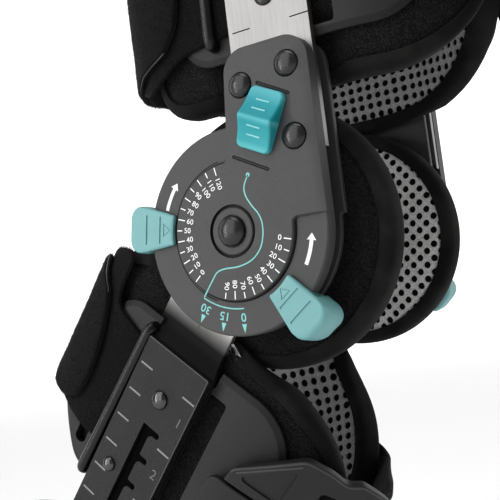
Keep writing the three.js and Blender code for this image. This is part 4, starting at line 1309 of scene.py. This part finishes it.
def napParts(loop, rise, thick, dice):  # short loose fibres on the outer face and along the edge
    n = napping
    depthOf = insetFrom(loop)
    low, high = loop.min(axis=0), loop.max(axis=0)
    spot = low + dice.random((n["count"], 2)) * (high - low)
    depth = depthOf(*spot.T)
    spot = spot[depth > 0.3]
    out = np.full(len(spot), thick - 0.05) - np.maximum(0, 1.3 - depth[depth > 0.3]) * 0.35
    way = np.c_[dice.normal(0, n["lean"], (len(spot), 2)), np.full(len(spot), 0.8)]
    pick = dice.integers(0, len(loop), n["count"] // 4)
    edge = loop[pick] + dice.normal(0, 0.15, (len(pick), 2))
    spot = np.vstack([spot, edge])
    stray = dice.normal(0, 0.45, (len(pick), 3))
    way = np.vstack([way, np.c_[-inwardNormals(loop)[pick], np.full(len(pick), 0.2)] + stray])
    out = np.r_[out, dice.uniform(0.2, 0.8, len(pick)) * thick]
    way /= np.linalg.norm(way, axis=1)[:, None]
    size = dice.uniform(*n["length"], len(spot))[:, None]
    foot = np.c_[spot, out + rise(*spot.T)]
    side = np.cross(way, dice.normal(size=(len(spot), 3)))
    side *= n["width"] / np.linalg.norm(side, axis=1)[:, None]
    verts = np.stack([foot - side, foot + side, foot + way * size], axis=1).reshape(-1, 3)
    faces = np.arange(len(verts)).reshape(-1, 3).tolist()
    return verts, faces, 0


for name, layers in rearStraps.items():
    limb = cuffs[name]["limb"]
    dice = np.random.default_rng(napping["seed"])
    naps, soft = [], []
    for kind, layer in layers.items():
        band, loop, rise = strapLayer(pieceName("", name, "RearStrap" + kind), layer, limb)
        settle(band, limb, "strap_pile", *([f"{name}_rear_strap"] if kind == "Flap" else []))
        naps.append(napParts(loop, rise, layer["thick"], dice))
        soft.append(band)
    which, first, last = strapTrim[name]
    line = mirroredEdge(layer[which], 300)
    for way in (1, -1):
        on = line[(line[:, 0] * way > first) & (line[:, 0] * way < last)]
        naps.append(tubeParts(np.c_[on, rise(*on.T) + layer["thick"] * 0.8], 0.22, 6, 1))
    nap = makePiece(pieceName("", name, "RearStrapNap"), naps, [pileBlack, trimGrey], roundLeg(limb),
                    weighted=False)
    settle(nap, limb, "strap_pile")
    for piece in (soft + [nap]) * (limb == "thigh"):
        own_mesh(piece)


def bandSection(low, high, inner, outer, count=12):  # a flat band with soft edges, as height and offset
    r = (outer - inner) / 2
    a = np.linspace(-math.pi / 2, math.pi / 2, 7)
    up = np.c_[high - r + r * np.cos(a), (inner + outer) / 2 + r * np.sin(a)]
    a = np.linspace(math.pi / 2, 1.5 * math.pi, 7)
    down = np.c_[low + r + r * np.cos(a), (inner + outer) / 2 + r * np.sin(a)]
    side = np.linspace(high - r, low + r, count)[1:-1]
    return np.vstack([up, np.c_[side, np.full(count - 2, outer)], down,
                      np.c_[side[::-1], np.full(count - 2, inner)]])


def bandPiece(name, limb, stations, node, seed=5.0, wave=0.15):
    grid = []
    for d, low, high, inner, outer in stations:
        s = bandSection(low, high, inner, outer)
        grid.append(np.c_[np.full(len(s), d), s])
    grid = np.array(grid)
    flat = grid.reshape(-1, 3)
    flat[:, 2] += ripple(flat[:, 0], flat[:, 1], seed, 27.0) * wave
    parts = [gridParts(closedEnds(grid))]
    band = makePiece(name, parts, [webbingBlack], roundLeg(limb), sharp=80, weighted=False)
    settle(band, limb, "webbing", node)


# measured from the buckle's corner nearest the strut, along the strap and across it from the middle
buckle = {"from": 36, "overlap": 6, "inner": 3.6, "outer": 8.2, "strapWidth": 52, "neck": 10.5,
          "neckRun": (16, 20), "shift": 3, "farTop": (10, 8.5), "farRun": 16,
          "taut": ("calf",), "leave": 180, "lie": 0.3, "strapThick": 2.7,
          "frame": ((4.4, 8.6, 1), (5.6, 15.6, 4), (27.6, 34.6, 6), (36.9, 34.2, 5), (43.5, 32.4, 4),
                    (48.5, 34.8, 3), (55, 33.2, 4), (64, 30, 8)),
          "channel": 9.8, "channelEnd": 23.0, "window": (36.5, 53, 25.5), "tongue": (-1.8, 34, 7.9),
          "panel": ((8.6, 13.6), (27.0, 29.6), (25.4, 12.6)), "panelDeep": 0.9,
          "crest": ((8.0, 15.0), (17.5, 23.4), (27.2, 31.4)), "rim": 0.7, "rimRadius": 0.45}
looped = {"trim": 4, "thick": 2.8, "room": 22, "ease": 28}  # the outer cuffs' strap, over the struts


def buckleParts(d0, mid):
    b = buckle
    below, above = -2, 12
    upper = [(d0 + u, mid + v, r) for u, v, r in b["frame"]]
    lower = [(d0 + u, mid - v, r) for u, v, r in b["frame"][::-1]]
    frameLoop = softLoop(upper + lower, 8)
    body = slabParts(frameLoop, b["inner"], b["outer"], 0.8)
    v = b["channel"]
    cutters = [blockParts(boxLoop(d0 - 9, mid - v, d0 + b["channelEnd"], mid + v, 0, 3), below, above)]
    u0, u1, v = b["window"]
    cutters.append(blockParts(boxLoop(d0 + u0, mid - v, d0 + u1, mid + v, 2, 2), below, above))
    u0, u1, v = b["tongue"]
    extra = [slabParts(boxLoop(d0 + u0, mid - v, d0 + u1, mid + v, 5, 1), b["inner"], b["outer"] - 0.9, 0.7)]
    # lighter tubes paint highlights on the frame's upper edge and the panel's top border
    rim = inset(frameLoop, b["rim"])
    for way in (1, -1):
        corners = [(d0 + u, mid + way * v, 1.2) for u, v in b["panel"]]
        cutters.append(blockParts(softLoop(corners), b["outer"] - b["panelDeep"], above))
        crest = [(d0 + u, mid + way * v, b["outer"] - 0.05) for u, v in b["crest"]]
        extra.append(tubeParts(smoothPath(crest, 12), b["rimRadius"], 8, 1))
        edge = rim[(rim[:, 1] - mid) * way > b["channel"] + 1.5]
        edge = edge[np.argsort(edge[:, 0])]
        extra.append(tubeParts(np.c_[edge, np.full(len(edge), b["outer"] - 0.15)], b["rimRadius"], 8, 1))
    return body, cutters, extra


def tautOffset(limb, d, begin, end):  # how far in a strap lies that is pulled straight between two places
    lie = buckle["lie"]
    if limb not in buckle["taut"] or not begin < d < end:
        return lie
    places = np.array([(begin, 0, lie), (end, 0, lie), (d, 0, 0), (d, 0, 1)], float)
    a, b, here, out = roundLeg(limb)(places)
    along = np.linalg.lstsq(np.c_[out - here, a - b], a - here, rcond=None)[0]
    return min(lie, float(along[0]))


for name, cuff in cuffs.items():
    limb = cuff["limb"]
    length = legs[limb]["length"]
    mid, half = cuff["strap"], buckle["strapWidth"] / 2
    stations = []
    if cuff["near"]:
        neck = buckle["neck"]
        d0 = fromStrut(limb, buckle["from"] + buckle["overlap"])
        begin, leave = d0 + buckle["frame"][-1][0] - buckle["overlap"], 2 * length - buckle["leave"]
        run = np.linspace(d0, 2 * length - d0, 80)
        offs = np.pad([tautOffset(limb, d, begin, leave) for d in run], 3, "edge")
        for d, off in zip(run, np.convolve(offs, np.full(7, 1 / 7), "valid")):
            wide = np.interp(min(d - d0, 2 * length - d0 - d), (0, *buckle["neckRun"]), (neck, neck, half))
            top = wide
            if limb in buckle["taut"]:  # narrows above towards the far pad
                far = (begin, leave, leave + buckle["farRun"])
                top = min(wide, np.interp(d, far, (half, *buckle["farTop"])))
            stations.append((d, mid - wide, mid + top, off, off + buckle["strapThick"]))
        bandPiece(pieceName("", name, "FrontStrap"), limb, stations, f"{name}_front_strap")
        d0 = fromStrut(limb, buckle["from"])
        body, cutters, extra = buckleParts(d0, mid + buckle["shift"] * (1 if limb == "thigh" else -1))
        clip = wrapPiece(pieceName("", name, "Buckle"), [body], [plateGrey], limb, cutters=cutters)
        settle(clip, limb, "buckle", f"{name}_buckle")
        tongue = wrapPiece(pieceName("", name, "BuckleTongue"), extra, [plateGrey, rimPaintedHighlight], limb)
        settle(tongue, limb, "buckle")
    else:
        strutRun, half = fromStrut(limb, 0), half - looped["trim"]
        under = strut if limb == "thigh" else sleeve
        rise = brace["ringFace"] - brace["plateFace"] + under["front"]
        for d in np.linspace(-length, length, 160):
            f = np.clip((abs(abs(d) - strutRun) - looped["room"]) / looped["ease"], 0, 1)
            up = buckle["lie"] + rise * (1 - eased(f))
            stations.append((d, mid - half, mid + half, up, up + looped["thick"]))
        bandPiece(pieceName("", name, "Strap"), limb, stations, f"{name}_strap")
print("straps done")


# Floor, light and camera

studio = {"floor": -0.275, "back": 4.0, "lens": 64.8, "azimuth": 32.757, "elevation": -5.529, "roll": -6.829,
          "distance": 0.3419, "shift": (0.0305, -0.0375), "sky": 0.32,
          "lamps": {"key": ((-0.45, -1.15, 0.6), (1.2, 1.8), 15),
                    "strip": ((-0.88, -0.95, 0.15), (0.09, 0.9), 4),
                    "top": ((0.1, -0.2, 1.4), (0.9, 0.9), 8)}}  # place, size and watts


def glowing(name, base, glow):
    finish, tree, shader = newFinish(name)
    fill(shader, {"Base Color": (base, base, base, 1), "Roughness": 0.9, "Emission Color": (1, 1, 1, 1),
                  "Emission Strength": glow})
    return finish


def makeStage():
    size, z = 14, studio["floor"]
    a = np.radians(np.linspace(20, 200, 49))  # a bright wall behind, seen from the camera
    reach = studio["back"]
    wall = [(reach * math.cos(t), reach * math.sin(t), z + up) for t in a for up in (-0.01, 4.0)]
    quads = [(2 * i, 2 * i + 2, 2 * i + 3, 2 * i + 1) for i in range(len(a) - 1)]
    floor = [(-size, -size, z), (size, -size, z), (size, size, z), (-size, size, z)]
    for name, verts, faces, finish in (("backdrop", wall, quads, glowing("backdropWhite", 0.5, 1.0)),
                                       ("floor", floor, [(0, 1, 2, 3)], glowing("paleFloor", 0.8, 0.22))):
        mesh = bpy.data.meshes.new(name)
        mesh.from_pydata(verts, [], faces)
        mesh.materials.append(finish)
        linked(name, mesh)


def softBox(name, at, size, watts):  # turned to the knee
    lamp = bpy.data.lights.new(name, "AREA")
    lamp.shape = "RECTANGLE"
    lamp.size, lamp.size_y = size
    lamp.energy = watts
    holder = linked(name, lamp)
    holder.location = at
    holder.rotation_euler = (-Vector(at)).to_track_quat("-Z", "Y").to_euler()


def makeCamera():
    s = studio
    az, el, roll = (math.radians(s[k]) for k in ("azimuth", "elevation", "roll"))
    back = Vector((math.sin(az) * math.cos(el), -math.cos(az) * math.cos(el), math.sin(el)))
    right0 = Vector((math.cos(az), math.sin(az), 0))
    up0 = back.cross(right0)
    right = right0 * math.cos(roll) + up0 * math.sin(roll)
    up = up0 * math.cos(roll) - right0 * math.sin(roll)
    camera = bpy.data.cameras.new("camera")
    camera.lens, camera.sensor_width = s["lens"], 36
    camera.shift_x, camera.shift_y = s["shift"]
    camera.clip_start, camera.clip_end = 0.01, 100
    holder = linked("camera", camera)
    at = Vector((0, -brace["ringFace"] / 1000, 0)) + back * s["distance"]
    rows = [(right[k], up[k], back[k], at[k]) for k in range(3)]
    holder.matrix_world = Matrix((*rows, (0, 0, 0, 1)))
    bpy.context.scene.camera = holder


makeStage()
world = bpy.data.worlds.new("studio")
world.use_nodes = True
fill(world.node_tree.nodes["Background"], {"Color": (1, 1, 1, 1), "Strength": studio["sky"]})
bpy.context.scene.world = world
bpy.context.scene.view_settings.view_transform = "Standard"
for name, lamp in studio["lamps"].items():
    softBox(name, *lamp)
makeCamera()
print("stage ready")
